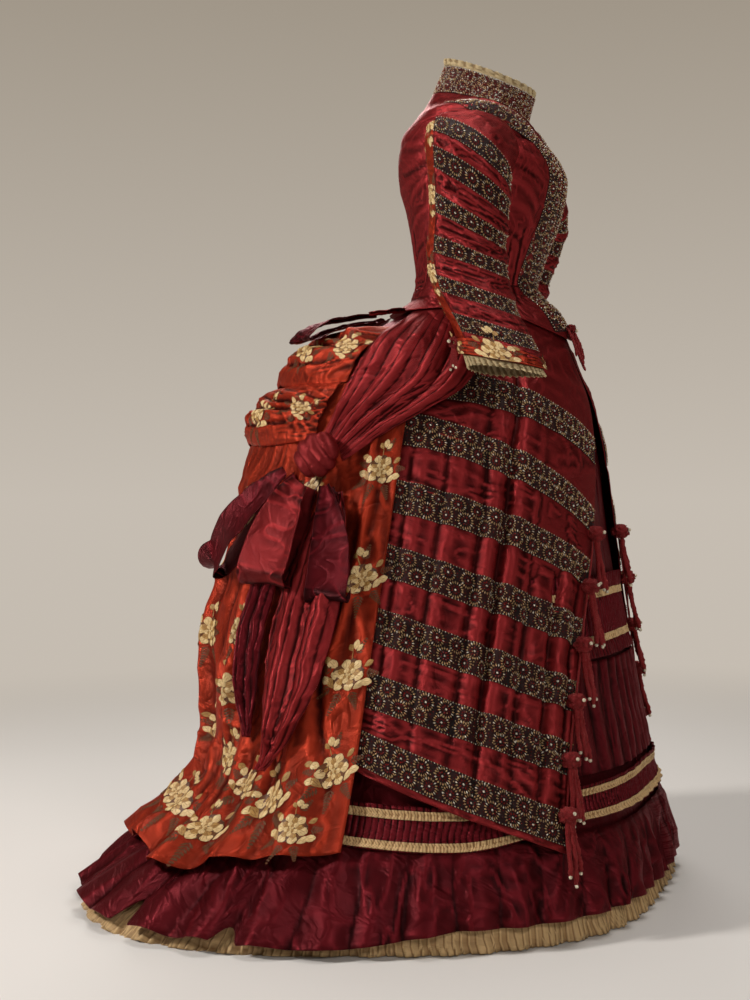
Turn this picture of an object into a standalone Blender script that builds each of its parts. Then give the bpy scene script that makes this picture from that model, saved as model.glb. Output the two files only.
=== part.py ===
"""Victorian bustle dress: a fitted satin bodice with beaded bands, an overskirt of two satin panels
over a flounced underskirt, and a brocade train drawn up in puffs under sashes and a bow.

Metres, +Z up. The wearer faces -Y, and the wearer's right side is at -X. Every cloth is a closed
wall that follows one form, the outline of the lowest skirt, at its own distance out from it.
"""

import bisect
import math
from typing import NamedTuple

import bmesh
import bpy
from mathutils import Vector

SHOULDER_HEIGHT = 1.330
CLOTH = 0.0025
SEAM = 0.0003
SEAT = 0.0007
BEAD_RISE = 0.003
BEAD_SHOULDER = 0.0018
BODICE_LIFT = 0.0076
BODICE_TOP_LIFT = 0.0055
BASQUE_FRONT_LIFT = 0.0016
WAIST_HEIGHT = 0.995
BASQUE_SIDE_HEIGHT = 0.972
BASQUE_POINT_HEIGHT = 0.928
BASQUE_POINT_HALF_ANGLE = 70.0
SIDE_FRONT_SEAM = 58.0
SIDE_BACK_SEAM_LOW = 126.0
NECK_HEIGHT = 1.3385
NECK_TILT = 0.0265
FRONT_BAND_WIDTH = 0.052
ARMHOLE_ANGLE = 80.0
ARMHOLE_HALF_ANGLE = 27.0
ARMHOLE_HEIGHT = 1.235
ARMHOLE_HALF_HEIGHT = 0.052
RIGHT, LEFT = 1, -1
SIDE_NAMES = {RIGHT: "right", LEFT: "left"}


class FormRow(NamedTuple):
    """One level of the form: its height, how far back its middle is, and its reach at five angles."""

    height: float
    middle: float
    front: float
    front_quarter: float
    side: float
    back_quarter: float
    back: float


FORM = (
    FormRow(0.000, 0.000, 0.330, 0.395, 0.472, 0.650, 0.620),
    FormRow(0.060, 0.000, 0.324, 0.387, 0.456, 0.565, 0.570),
    FormRow(0.130, 0.000, 0.316, 0.370, 0.430, 0.470, 0.480),
    FormRow(0.200, 0.000, 0.302, 0.348, 0.402, 0.415, 0.425),
    FormRow(0.280, 0.000, 0.287, 0.328, 0.375, 0.398, 0.412),
    FormRow(0.400, 0.000, 0.265, 0.300, 0.345, 0.400, 0.428),
    FormRow(0.580, 0.000, 0.238, 0.262, 0.292, 0.365, 0.402),
    FormRow(0.740, 0.000, 0.222, 0.230, 0.245, 0.325, 0.378),
    FormRow(0.820, 0.000, 0.206, 0.208, 0.216, 0.283, 0.342),
    FormRow(0.880, 0.000, 0.187, 0.187, 0.190, 0.242, 0.300),
    FormRow(0.940, 0.000, 0.165, 0.160, 0.158, 0.174, 0.210),
    FormRow(0.970, -0.003, 0.148, 0.138, 0.134, 0.134, 0.146),
    FormRow(1.000, -0.008, 0.114, 0.109, 0.111, 0.104, 0.100),
    FormRow(1.030, -0.016, 0.092, 0.094, 0.101, 0.101, 0.102),
    FormRow(1.080, -0.022, 0.101, 0.105, 0.111, 0.111, 0.110),
    FormRow(1.150, -0.026, 0.123, 0.127, 0.128, 0.126, 0.125),
    FormRow(1.210, -0.028, 0.130, 0.140, 0.141, 0.141, 0.142),
    FormRow(1.240, -0.029, 0.117, 0.134, 0.152, 0.147, 0.143),
    FormRow(1.270, -0.030, 0.092, 0.118, 0.165, 0.147, 0.138),
    FormRow(1.300, -0.030, 0.073, 0.097, 0.158, 0.128, 0.126),
    FormRow(1.320, -0.028, 0.062, 0.076, 0.107, 0.105, 0.114),
    FormRow(1.340, -0.024, 0.050, 0.056, 0.064, 0.078, 0.097),
    FormRow(1.365, -0.019, 0.035, 0.040, 0.045, 0.060, 0.078),
)
QUARTER = 45.0


class Finish(NamedTuple):
    """A cloth's colour and roughness, and its metallic value."""

    name: str
    colour: tuple
    roughness: float
    metallic: float = 0.0


CRIMSON_SATIN = Finish("crimson_satin", (0.260, 0.013, 0.018), 0.38)
ROSE_BROCADE = Finish("rose_brocade", (0.330, 0.022, 0.012), 0.42)
BURGUNDY_TAFFETA = Finish("burgundy_taffeta", (0.085, 0.008, 0.013), 0.45)
CREAM_SILK = Finish("cream_silk", (0.640, 0.480, 0.270), 0.60)
CREAM_LACE = Finish("cream_lace", (0.700, 0.560, 0.330), 0.75)
BEADED_NET = Finish("beaded_net", (0.070, 0.010, 0.012), 0.25)
CHENILLE = Finish("chenille", (0.140, 0.010, 0.014), 0.90)


def smooth_value(keys, values, at):
    """Value at a key on a curve through the points that never passes a neighbouring point."""
    last = len(keys) - 1
    if at <= keys[0]:
        return values[0]
    if at >= keys[last]:
        return values[last]

    def steepness(row):
        before = (values[row] - values[row - 1]) / (keys[row] - keys[row - 1]) if row > 0 else None
        after = (values[row + 1] - values[row]) / (keys[row + 1] - keys[row]) if row < last else None
        if before is None or after is None:
            return after if before is None else before
        return 2 * before * after / (before + after) if before * after > 0 else 0.0

    row = bisect.bisect_right(keys, at) - 1
    span = keys[row + 1] - keys[row]
    s = (at - keys[row]) / span
    return (
        (2 * s**3 - 3 * s**2 + 1) * values[row]
        + (s**3 - 2 * s**2 + s) * span * steepness(row)
        + (3 * s**2 - 2 * s**3) * values[row + 1]
        + (s**3 - s**2) * span * steepness(row + 1)
    )


def read(table, column, at):
    """Value of a named column of a table at a place along its first column."""
    return smooth_value([row[0] for row in table], [getattr(row, column) for row in table], at)


def ease(start, end, at):
    """A soft step from 0 at start to 1 at end."""
    s = min(max((at - start) / (end - start), 0.0), 1.0)
    return s * s * (3 - 2 * s)


def form_reach(angle, height):
    """How far the form stands from the axis, at degrees from the front toward the wearer's right."""
    turn = abs(angle) % 360
    turn = 360 - turn if turn > 180 else turn
    reach = [read(FORM, column, height) for column in FormRow._fields[2:]]
    corner = min(int(turn // QUARTER), 3)
    s = turn / QUARTER - corner
    around = [reach[1]] + reach + [reach[3]]
    before, start, end, after = around[corner : corner + 4]
    return (
        (2 * s**3 - 3 * s**2 + 1) * start
        + (s**3 - 2 * s**2 + s) * (end - before) / 2
        + (3 * s**2 - 2 * s**3) * end
        + (s**3 - s**2) * (after - start) / 2
    )


def form_point(angle, height):
    """A point of the form."""
    reach = form_reach(angle, height)
    turn = math.radians(angle)
    middle = read(FORM, "middle", height)
    return Vector((-reach * math.sin(turn), middle - reach * math.cos(turn), height))


def cloth_point(angle, height, lift):
    """A point that stands lift out from the form, square to it."""
    step_angle, step_height = 0.5, 0.003
    around = form_point(angle + step_angle, height) - form_point(angle - step_angle, height)
    up = form_point(angle, height + step_height) - form_point(angle, height - step_height)
    return form_point(angle, height) + up.cross(around).normalized() * lift


def make_material(finish):
    """The Principled material of a finish, made once."""
    material = bpy.data.materials.get(finish.name)
    if material is None:
        material = bpy.data.materials.new(finish.name)
        material.use_nodes = True
        shader = material.node_tree.nodes["Principled BSDF"]
        shader.inputs["Base Color"].default_value = (*finish.colour, 1.0)
        shader.inputs["Roughness"].default_value = finish.roughness
        shader.inputs["Metallic"].default_value = finish.metallic
        material.diffuse_color = (*finish.colour, 1.0)
    return material


def add_piece(name, finish, mesh):
    """Puts a finished mesh in the dress, under the empty that stands at the wearer's feet."""
    data = bpy.data.meshes.new(name)
    bmesh.ops.recalc_face_normals(mesh, faces=mesh.faces[:])
    if mesh.calc_volume(signed=True) < 0:
        bmesh.ops.reverse_faces(mesh, faces=mesh.faces[:])
    mesh.to_mesh(data)
    mesh.free()
    data.shade_smooth()
    data.materials.append(make_material(finish))
    piece = bpy.data.objects.new(name, data)
    piece.parent = bpy.data.objects["wearer_feet"]
    bpy.data.collections["victorian_dress"].objects.link(piece)
    return piece


def wall_mesh(columns, rows, outer, inner, ring=False):
    """A closed wall: a grid bent to outer(u, v), and its copy bent to inner(u, v) and joined all round."""
    mesh = bmesh.new()
    across = mesh.verts.layers.float.new("across")
    along = mesh.verts.layers.float.new("along")
    bmesh.ops.create_grid(mesh, x_segments=columns, y_segments=rows, size=0.5)
    for vert in mesh.verts:
        vert[across] = vert.co.x + 0.5
        vert[along] = vert.co.y + 0.5
        if ring:
            turn = 2 * math.pi * vert[across]
            vert.co = Vector((math.cos(turn), math.sin(turn), vert[along]))
    if ring:
        bmesh.ops.remove_doubles(mesh, verts=mesh.verts[:], dist=1e-5)
    lining = bmesh.ops.extrude_face_region(mesh, geom=mesh.faces[:], use_keep_orig=True)
    inside = {part for part in lining["geom"] if isinstance(part, bmesh.types.BMVert)}
    for vert in mesh.verts:
        face = inner if vert in inside else outer
        vert.co = face(vert[across], vert[along])
    return mesh


def cloth_wall(name, finish, columns, rows, place, lift, rise=None, ring=False, thickness=CLOTH):
    """A wall over the form: place(u, v) is its angle and height, lift() its wrong side's distance."""

    def inner(u, v):
        angle, height = place(u, v)
        return cloth_point(angle, height, lift(angle, height, u, v))

    def outer(u, v):
        angle, height = place(u, v)
        raised = rise(u, v) if rise else 0.0
        return cloth_point(angle, height, lift(angle, height, u, v) + thickness + raised)

    return add_piece(name, finish, wall_mesh(columns, rows, outer, inner, ring))


def basque_height(angle):
    """Height of the bodice's lower edge, which dips to a point at the centre front."""
    share = max(0.0, math.cos(math.radians(90 * min(abs(angle) / BASQUE_POINT_HALF_ANGLE, 1.0))))
    return BASQUE_SIDE_HEIGHT - (BASQUE_SIDE_HEIGHT - BASQUE_POINT_HEIGHT) * share**2


def neck_height(angle):
    """Height of the neck seam, which slopes down to the front."""
    return NECK_HEIGHT - NECK_TILT * math.cos(math.radians(angle))


def bodice_lift(angle, height, u, v):
    """Distance from the form to the bodice's wrong side."""
    front = BASQUE_FRONT_LIFT * ease(32, 18, abs(angle)) * ease(1.01, 0.98, height)
    return BODICE_LIFT + front + (BODICE_TOP_LIFT - BODICE_LIFT) * ease(1.0, 1.05, height)


WAIST = 1.030
UNDERARM = ARMHOLE_HEIGHT - ARMHOLE_HALF_HEIGHT * math.sqrt(
    1 - ((ARMHOLE_ANGLE - SIDE_FRONT_SEAM) / ARMHOLE_HALF_ANGLE) ** 2
)
SHOULDER_TIP = ARMHOLE_HEIGHT + ARMHOLE_HALF_HEIGHT
BASQUE_SHARES = (0.0, 0.25, 0.5, 0.75, 1.0)
TORSO_HEIGHTS = (1.085, 1.145, UNDERARM)
ARMHOLE_HEIGHTS = (1.225, 1.250, 1.272, 1.283, SHOULDER_TIP)
YOKE_SHARES = (0.5, 1.0)
PANEL_ROWS = len(BASQUE_SHARES) + len(TORSO_HEIGHTS) + len(ARMHOLE_HEIGHTS) + len(YOKE_SHARES) - 1
SIDE_ROWS = len(BASQUE_SHARES) + len(TORSO_HEIGHTS) - 1
FIRST_ARMHOLE_ROW = SIDE_ROWS + 1
FIRST_YOKE_ROW = FIRST_ARMHOLE_ROW + len(ARMHOLE_HEIGHTS)


def bodice_height(row, angle):
    """Height of a row of the bodice's front and back panels at an angle."""
    if row < len(BASQUE_SHARES):
        return basque_height(angle) + BASQUE_SHARES[row] * (WAIST - basque_height(angle))
    if row < FIRST_YOKE_ROW:
        return (TORSO_HEIGHTS + ARMHOLE_HEIGHTS)[row - len(BASQUE_SHARES)]
    return SHOULDER_TIP + YOKE_SHARES[row - FIRST_YOKE_ROW] * (neck_height(angle) - SHOULDER_TIP)


def armhole_reach(height):
    """How far the armhole reaches before and behind its middle at a height, in degrees."""
    share = (height - ARMHOLE_HEIGHT) / ARMHOLE_HALF_HEIGHT
    return ARMHOLE_HALF_ANGLE * math.sqrt(max(0.0, 1 - share * share))


def side_back_seam(height):
    """Angle of the side-back seam, which slants from the armhole toward the back at the waist."""
    high = 2 * ARMHOLE_ANGLE - SIDE_FRONT_SEAM
    return high + (SIDE_BACK_SEAM_LOW - high) * ease(UNDERARM, WAIST, height)


def half_seam(angle, height):
    """Half a seam's gap as an angle, with a little more where the cloth's edge leans across it."""
    return math.degrees(0.7 * SEAM / form_reach(angle, height))


def bodice_front(side):
    """A front of the bodice: centre closure to side-front seam, armhole and shoulder seam."""
    columns = 7

    def place(u, v):
        row, column = round(v * PANEL_ROWS), round(u * columns)
        height = bodice_height(row, 0.0)
        reach = form_reach(0.0, height)
        start = math.degrees(SEAM / reach)
        band = math.degrees(FRONT_BAND_WIDTH / reach)
        stop = SIDE_FRONT_SEAM
        if row >= FIRST_ARMHOLE_ROW:
            stop = ARMHOLE_ANGLE - armhole_reach(height if row < FIRST_YOKE_ROW else SHOULDER_TIP)
        stop -= half_seam(stop, height)
        plain = (stop - band) / (columns - 2)
        shoulder = math.degrees(BEAD_SHOULDER / reach)
        angle = (start, band - shoulder, band)[column] if column < 3 else band + plain * (column - 2)
        if row >= FIRST_YOKE_ROW:
            angle = start + u * (stop - start)
        return side * angle, bodice_height(row, angle)

    def rise(u, v):
        return BEAD_RISE if round(u * columns) < 2 and round(v * PANEL_ROWS) < FIRST_YOKE_ROW - 1 else 0.0

    name = f"bodice_front_{SIDE_NAMES[side]}"
    cloth_wall(name, CRIMSON_SATIN, columns, PANEL_ROWS, place, bodice_lift, rise)


def bodice_back(side):
    """A back of the bodice: centre back seam to side-back seam, armhole and shoulder seam."""
    columns = 5

    def place(u, v):
        row = round(v * PANEL_ROWS)
        height = bodice_height(row, 180.0)
        start = side_back_seam(height)
        if row >= FIRST_ARMHOLE_ROW:
            start = ARMHOLE_ANGLE + armhole_reach(height if row < FIRST_YOKE_ROW else SHOULDER_TIP)
        start += half_seam(start, height)
        angle = start + u * (180 - half_seam(180, height) - start)
        return side * angle, bodice_height(row, angle)

    cloth_wall(f"bodice_back_{SIDE_NAMES[side]}", CRIMSON_SATIN, columns, PANEL_ROWS, place, bodice_lift)


def bodice_side(side):
    """The side piece under an arm, whose top is the bottom of the armhole."""
    columns = 5

    def place(u, v):
        row = round(v * SIDE_ROWS)
        height = bodice_height(row, 90.0)
        gap = half_seam(90, height)
        seam = side_back_seam(height)
        angle = SIDE_FRONT_SEAM + gap + u * (seam - SIDE_FRONT_SEAM - 2 * gap)
        if height <= WAIST:
            return side * angle, bodice_height(row, angle)
        share = min(abs(angle - ARMHOLE_ANGLE) / ARMHOLE_HALF_ANGLE, 1.0)
        top = ARMHOLE_HEIGHT - ARMHOLE_HALF_HEIGHT * math.sqrt(1 - share * share)
        lowered = WAIST + (height - WAIST) * (top - WAIST) / (UNDERARM - WAIST)
        return side * angle, min(height, lowered)

    cloth_wall(f"bodice_side_{SIDE_NAMES[side]}", CRIMSON_SATIN, columns, SIDE_ROWS, place, bodice_lift)


class NeckRing(NamedTuple):
    """The collar's top edge: where its middle is, its half depth and width, and its height and tilt."""

    middle: float
    half_depth: float
    half_width: float
    height: float
    tilt: float


COLLAR_TOP = NeckRing(-0.036, 0.078, 0.062, 1.386, 0.032)
COLLAR_THICKNESS = 0.004
COLLAR_SEAT = 0.0017
COLLAR_FRILL_HEIGHT = 0.011
COLLAR_FRILL_WAVES = 14
COLLAR_FRILL_WAVE = 0.0016
COLLAR_PARTING_ANGLE = 0.3
COLLAR_COLUMNS = 20
LACE_HALF_THICKNESS = 0.0006


def collar_edge(angle, out):
    """A point of the collar's top edge, out from its wrong side."""
    turn = math.radians(angle)
    return Vector((
        -(COLLAR_TOP.half_width + out) * math.sin(turn),
        COLLAR_TOP.middle - (COLLAR_TOP.half_depth + out) * math.cos(turn),
        COLLAR_TOP.height - COLLAR_TOP.tilt * math.cos(turn),
    ))


def collar():
    """The standing collar, thick with beadwork, parted at the centre front."""
    def point(u, v, out):
        angle = COLLAR_PARTING_ANGLE + u * (360 - 2 * COLLAR_PARTING_ANGLE)
        foot = cloth_point(angle, neck_height(angle), BODICE_TOP_LIFT + out) + Vector((0, 0, COLLAR_SEAT))
        return foot.lerp(collar_edge(angle, out), v)

    def outer(u, v):
        return point(u, v, COLLAR_THICKNESS)

    def inner(u, v):
        return point(u, v, 0.0)

    add_piece("collar", BEADED_NET, wall_mesh(COLLAR_COLUMNS, 2, outer, inner))


def collar_frill():
    """The lace frill that stands out of the collar's top."""

    def point(u, v, out):
        wave = COLLAR_FRILL_WAVE * math.cos(2 * math.pi * COLLAR_FRILL_WAVES * u)
        foot = collar_edge(360 * u, COLLAR_THICKNESS / 2 + out + wave * v)
        return foot + Vector((0, 0, SEAT + COLLAR_FRILL_HEIGHT * v))

    def outer(u, v):
        return point(u, v, LACE_HALF_THICKNESS)

    def inner(u, v):
        return point(u, v, -LACE_HALF_THICKNESS)

    mesh = wall_mesh(2 * COLLAR_FRILL_WAVES, 1, outer, inner, ring=True)
    add_piece("collar_frill", CREAM_LACE, mesh)


class SleeveRing(NamedTuple):
    """A level of a sleeve: its middle, half sizes, and its pitch and roll in degrees."""

    along: float
    out: float
    middle: float
    height: float
    half_width: float
    half_depth: float
    pitch: float
    roll: float


SLEEVE = (
    SleeveRing(0.00, 0.172, -0.055, 1.228, 0.0530, 0.0690, 8.0, 12.0),
    SleeveRing(0.10, 0.187, -0.056, 1.220, 0.0550, 0.0740, 22.0, 40.0),
    SleeveRing(0.20, 0.198, -0.057, 1.195, 0.0530, 0.0800, 31.0, 66.0),
    SleeveRing(0.34, 0.197, -0.057, 1.140, 0.0500, 0.0765, 33.0, 84.0),
    SleeveRing(0.48, 0.203, -0.058, 1.085, 0.0480, 0.0680, 27.0, 90.0),
    SleeveRing(0.62, 0.213, -0.062, 1.030, 0.0490, 0.0700, 20.0, 90.0),
    SleeveRing(0.76, 0.227, -0.080, 0.975, 0.0500, 0.0725, 19.0, 90.0),
    SleeveRing(0.90, 0.249, -0.117, 0.915, 0.0480, 0.0700, 16.0, 90.0),
    SleeveRing(1.00, 0.268, -0.140, 0.872, 0.0450, 0.0620, 11.0, 90.0),
)
SLEEVE_BANDS = (0.150, 0.270, 0.420, 0.572, 0.737, 0.884)
SLEEVE_BAND_HALF = 0.033
SLEEVE_BAND_SHOULDER = 0.005
SLEEVE_JOIN = 0.12
LEFT_ARM_BACK = 0.056
LEFT_ARM_BEND = (0.05, 0.75)
BACK_SEAM_TURN = 125.0
FRONT_SEAM_TURN = -60.0
UNDER_SLEEVE_ROWS = (0.0, 0.06, 0.12, 0.20, 0.34, 0.48, 0.62, 0.76, 0.88, 1.0)
SLEEVE_LAP = 6.0
SLEEVE_INSET = 0.0022
ARMHOLE_SEAT = 0.0026


def armhole_point(side, turn, out):
    """A point of the armhole's edge, on the bodice's right side, out from the hole."""
    reach = form_reach(ARMHOLE_ANGLE, ARMHOLE_HEIGHT)
    spread = ARMHOLE_HALF_ANGLE + math.degrees(out / reach)
    angle = ARMHOLE_ANGLE - spread * math.cos(math.radians(turn))
    height = ARMHOLE_HEIGHT + (ARMHOLE_HALF_HEIGHT + out) * math.sin(math.radians(turn))
    return cloth_point(side * angle, height, BODICE_TOP_LIFT + CLOTH + ARMHOLE_SEAT)


def sleeve_point(side, along, turn, out):
    """A point of a sleeve: turn is 0 at its front, 90 on its outer side and 180 at its back."""
    reach, middle, height, half_width, half_depth, pitch, roll = (
        read(SLEEVE, column, along) for column in SleeveRing._fields[1:]
    )
    if side == LEFT:
        middle += LEFT_ARM_BACK * ease(*LEFT_ARM_BEND, along)
    pitch, roll, around = math.radians(pitch), math.radians(roll), math.radians(turn)
    forward = Vector((0, -math.cos(pitch), -math.sin(pitch)))
    outward = Vector((-side * math.sin(roll), 0, math.cos(roll)))
    point = Vector((-side * reach, middle, height))
    point += forward * (half_depth + out) * math.cos(around)
    point += outward * (half_width + out) * math.sin(around)
    return armhole_point(side, turn, out).lerp(point, ease(0, SLEEVE_JOIN, along))


def upper_sleeve(side):
    """The satin upper sleeve with six beaded bands raised round it."""
    low, high = SLEEVE_BAND_HALF + SLEEVE_BAND_SHOULDER, SLEEVE_BAND_HALF
    rows = [(0.0, 0.0), (0.06, 0.0)]
    for band in SLEEVE_BANDS:
        rows += [(band - low, 0.0), (band - high, BEAD_RISE), (band + high, BEAD_RISE), (band + low, 0.0)]
    rows.append((1.0, 0.0))

    def at(u, v, out):
        along, rise = rows[round(v * (len(rows) - 1))]
        turn = FRONT_SEAM_TURN + u * (BACK_SEAM_TURN - FRONT_SEAM_TURN)
        return sleeve_point(side, along, turn, out + (rise if out else 0.0))

    def outer(u, v):
        return at(u, v, CLOTH)

    def inner(u, v):
        return at(u, v, 0.0)

    name = f"upper_sleeve_{SIDE_NAMES[side]}"
    add_piece(name, CRIMSON_SATIN, wall_mesh(7, len(rows) - 1, outer, inner))


def under_sleeve(side):
    """The brocade under-sleeve, whose long edges lie just inside the upper sleeve's."""
    start, stop = BACK_SEAM_TURN - SLEEVE_LAP, 360 + FRONT_SEAM_TURN + SLEEVE_LAP

    def at(u, v, out):
        along = UNDER_SLEEVE_ROWS[round(v * (len(UNDER_SLEEVE_ROWS) - 1))]
        return sleeve_point(side, along, start + u * (stop - start), out)

    def outer(u, v):
        return at(u, v, -SLEEVE_INSET)

    def inner(u, v):
        return at(u, v, -SLEEVE_INSET - CLOTH)

    name = f"under_sleeve_{SIDE_NAMES[side]}"
    add_piece(name, ROSE_BROCADE, wall_mesh(6, len(UNDER_SLEEVE_ROWS) - 1, outer, inner))


CUFF_COLUMNS = 16
CUFF_LOW_ALONG = 0.998
CUFF_FLAP = 0.066
CUFF_EDGE = 0.022
CUFF_PEAK_TURN = 80.0
CUFF_INSET = 0.0045
CUFF_FRILL_WAVES = 12
CUFF_FRILL_WAVE = 0.002
CUFF_FRILL_SHORT = 0.014
CUFF_FRILL_LONG = 0.034
CUFF_FRILL_PEAK_TURN = 215.0


def peak_share(turn, peak):
    """A soft peak of 1 at one turn round a sleeve, and 0 opposite it."""
    return (0.5 + 0.5 * math.cos(math.radians(turn - peak))) ** 2


def cuff(side):
    """The turned-back brocade cuff, which peaks on the sleeve's outer side."""

    def at(u, v, out):
        turn = 360 * u
        height = CUFF_EDGE + (CUFF_FLAP - CUFF_EDGE) * peak_share(turn, CUFF_PEAK_TURN)
        return sleeve_point(side, CUFF_LOW_ALONG - height * (1 - v), turn, out)

    def outer(u, v):
        return at(u, v, CUFF_INSET + CLOTH)

    def inner(u, v):
        return at(u, v, CUFF_INSET)

    mesh = wall_mesh(CUFF_COLUMNS, 2, outer, inner, ring=True)
    add_piece(f"cuff_{SIDE_NAMES[side]}", ROSE_BROCADE, mesh)


def sleeve_direction(side):
    """Which way the forearm runs at the sleeve's end."""
    above, end = SLEEVE[-2], SLEEVE[-1]
    step = Vector((-side * (end.out - above.out), end.middle - above.middle, end.height - above.height))
    return step.normalized()


def cuff_frill(side):
    """The lace frill below a sleeve's end, deepest at its back."""
    middle = CLOTH / 2

    def at(u, v, out):
        turn = 360 * u
        deeper = (CUFF_FRILL_LONG - CUFF_FRILL_SHORT) * peak_share(turn, CUFF_FRILL_PEAK_TURN)
        depth = CUFF_FRILL_SHORT + deeper
        wave = CUFF_FRILL_WAVE * math.cos(2 * math.pi * CUFF_FRILL_WAVES * u)
        foot = sleeve_point(side, 1.0, turn, middle + out + wave * v)
        return foot + sleeve_direction(side) * (1.5 * SEAT + depth * v)

    def outer(u, v):
        return at(u, v, LACE_HALF_THICKNESS)

    def inner(u, v):
        return at(u, v, -LACE_HALF_THICKNESS)

    mesh = wall_mesh(2 * CUFF_FRILL_WAVES, 1, outer, inner, ring=True)
    add_piece(f"cuff_frill_{SIDE_NAMES[side]}", CREAM_LACE, mesh)


class Strand(NamedTuple):
    """A chenille strand: where on its backing it starts, its length, its swing aside and its radius."""

    across: float
    along: float
    length: float
    swing: float
    radius: float


STRAND_STEPS = ((0.0, 0.004), (0.4, 0.007), (1.0, 0.005))


def grow_strand(mesh, strand, root, aside, hang):
    """Pulls the face nearest a root out of a backing into a four-sided strand along hang(share, reach)."""
    across, along = (mesh.verts.layers.float[name] for name in ("across", "along"))
    face = min(mesh.faces, key=lambda each: (each.calc_center_median() - root).length)
    before = face.calc_center_median()
    middle_across = sum(corner[across] for corner in face.verts) / len(face.verts)
    middle_along = sum(corner[along] for corner in face.verts) / len(face.verts)
    first = hang(*STRAND_STEPS[0])
    upright = math.copysign(1, aside.cross(first - before).z)
    signs = [
        (
            math.copysign(1, corner[across] - middle_across),
            upright * math.copysign(1, corner[along] - middle_along),
        )
        for corner in face.verts
    ]
    for share, reach in STRAND_STEPS:
        middle = hang(share, reach) + aside * strand.swing * share
        heading = (middle - before).normalized()
        width = (aside - heading * aside.dot(heading)).normalized()
        depth = width.cross(heading)
        face = bmesh.ops.extrude_discrete_faces(mesh, faces=[face])["faces"][0]
        for corner, (sign_across, sign_depth) in zip(face.verts, signs):
            corner.co = middle + (width * sign_across + depth * sign_depth) * strand.radius
        before = middle


def strand_group(name, columns, rows, at, depth, strands, hang):
    """Strands fused at their roots into one backing; at(u, v, out) is a point of the backing."""

    def outer(u, v):
        return at(u, v, depth)

    def inner(u, v):
        return at(u, v, 0.0)

    mesh = wall_mesh(columns, rows, outer, inner)
    for strand in strands:
        root = outer(strand.across, strand.along)
        aside = (outer(1, strand.along) - outer(0, strand.along)).normalized()

        def hang_here(share, reach):
            return hang(strand, share, reach)

        grow_strand(mesh, strand, root, aside, hang_here)
    add_piece(name, CHENILLE, mesh)


CUFF_TASSEL = (
    Strand(0.17, 0.25, 0.030, 0.004, 0.0022),
    Strand(0.50, 0.25, 0.040, 0.000, 0.0022),
    Strand(0.83, 0.25, 0.034, -0.004, 0.0022),
)
CUFF_TASSEL_TURN = 150.0
CUFF_TASSEL_SPREAD = 14.0
CUFF_TASSEL_ALONG = (0.937, 0.992)
CUFF_TASSEL_DEPTH = 0.006


def cuff_tassel(side):
    """The chenille rosette at the back of a cuff, with three short strands."""
    lift = CUFF_INSET + CLOTH + SEAT
    high, low = CUFF_TASSEL_ALONG

    def at(u, v, out):
        turn = CUFF_TASSEL_TURN + CUFF_TASSEL_SPREAD * (u - 0.5)
        return sleeve_point(side, low + v * (high - low), turn, lift + out)

    def hang(strand, share, reach):
        start = at(strand.across, strand.along, CUFF_TASSEL_DEPTH + reach)
        return start + Vector((0, 0, -strand.length * share))

    name = f"cuff_tassel_{SIDE_NAMES[side]}"
    strand_group(name, 3, 2, at, CUFF_TASSEL_DEPTH, CUFF_TASSEL, hang)


def skirt_place(low, high, start=0.0, stop=360.0):
    """Even columns between two angles and rows between two heights."""

    def place(u, v):
        return start + u * (stop - start), low + v * (high - low)

    return place


UNDERSKIRT_HEIGHTS = (0.138, 0.21, 0.32, 0.46, 0.62, 0.76, 0.85, 0.91, 0.945, 0.97, WAIST_HEIGHT)
UNDERSKIRT_INSET = 0.0026
UNDERSKIRT_COLUMNS = 26


def underskirt():
    """The burgundy underskirt: a tube from the waist to behind the flounce, shaped over the bustle."""

    def place(u, v):
        return 360 * u, UNDERSKIRT_HEIGHTS[round(v * (len(UNDERSKIRT_HEIGHTS) - 1))]

    def lift(angle, height, u, v):
        return -CLOTH - UNDERSKIRT_INSET * ease(0.46, 0.2, height)

    rows = len(UNDERSKIRT_HEIGHTS) - 1
    cloth_wall("underskirt", BURGUNDY_TAFFETA, UNDERSKIRT_COLUMNS, rows, place, lift, ring=True)


FLOUNCE_PLEATS = 40
FLOUNCE_TOP = 0.150
FLOUNCE_LOW = 0.034
FLOUNCE_FLARE = 0.0065
FLOUNCE_PHASE = 1 / 6


def pleat(turns):
    """A soft pleat between 0 and 1, with a broad top and a narrow fold."""
    return (0.5 + 0.5 * math.cos(2 * math.pi * turns)) ** 0.7


def flounce():
    """The pleated flounce round the hem, under the train as well."""

    def lift(angle, height, u, v):
        flare = FLOUNCE_FLARE * (0.15 + 0.85 * (1 - v))
        return SEAT + flare * 2 * pleat(FLOUNCE_PLEATS * u + FLOUNCE_PHASE)

    place = skirt_place(FLOUNCE_LOW, FLOUNCE_TOP)
    cloth_wall("flounce", BURGUNDY_TAFFETA, 3 * FLOUNCE_PLEATS, 1, place, lift, ring=True)


HEM_FRILL_WAVES = 52
HEM_FRILL_TOP = 0.040
HEM_CLEARANCE = 0.0006
HEM_FRILL_LIFT = -0.0030
HEM_FRILL_FLARE = 0.0060
HEM_FRILL_WAVE = 0.004
HEM_FRILL_CLOTH = 0.0015


def hem_frill():
    """The cream pleated frill inside the flounce, whose lower edge sweeps the floor."""

    def lift(angle, height, u, v):
        wave = HEM_FRILL_WAVE * (1 - v) * math.cos(2 * math.pi * HEM_FRILL_WAVES * u)
        return HEM_FRILL_LIFT + HEM_FRILL_FLARE * (1 - v) + wave

    place = skirt_place(HEM_CLEARANCE, HEM_FRILL_TOP)
    columns = 2 * HEM_FRILL_WAVES
    cloth_wall("hem_frill", CREAM_SILK, columns, 1, place, lift, ring=True, thickness=HEM_FRILL_CLOTH)


class BandRow(NamedTuple):
    """Where a shirred band's lower and upper edges lie at an angle from the front."""

    angle: float
    low: float
    high: float


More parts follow.
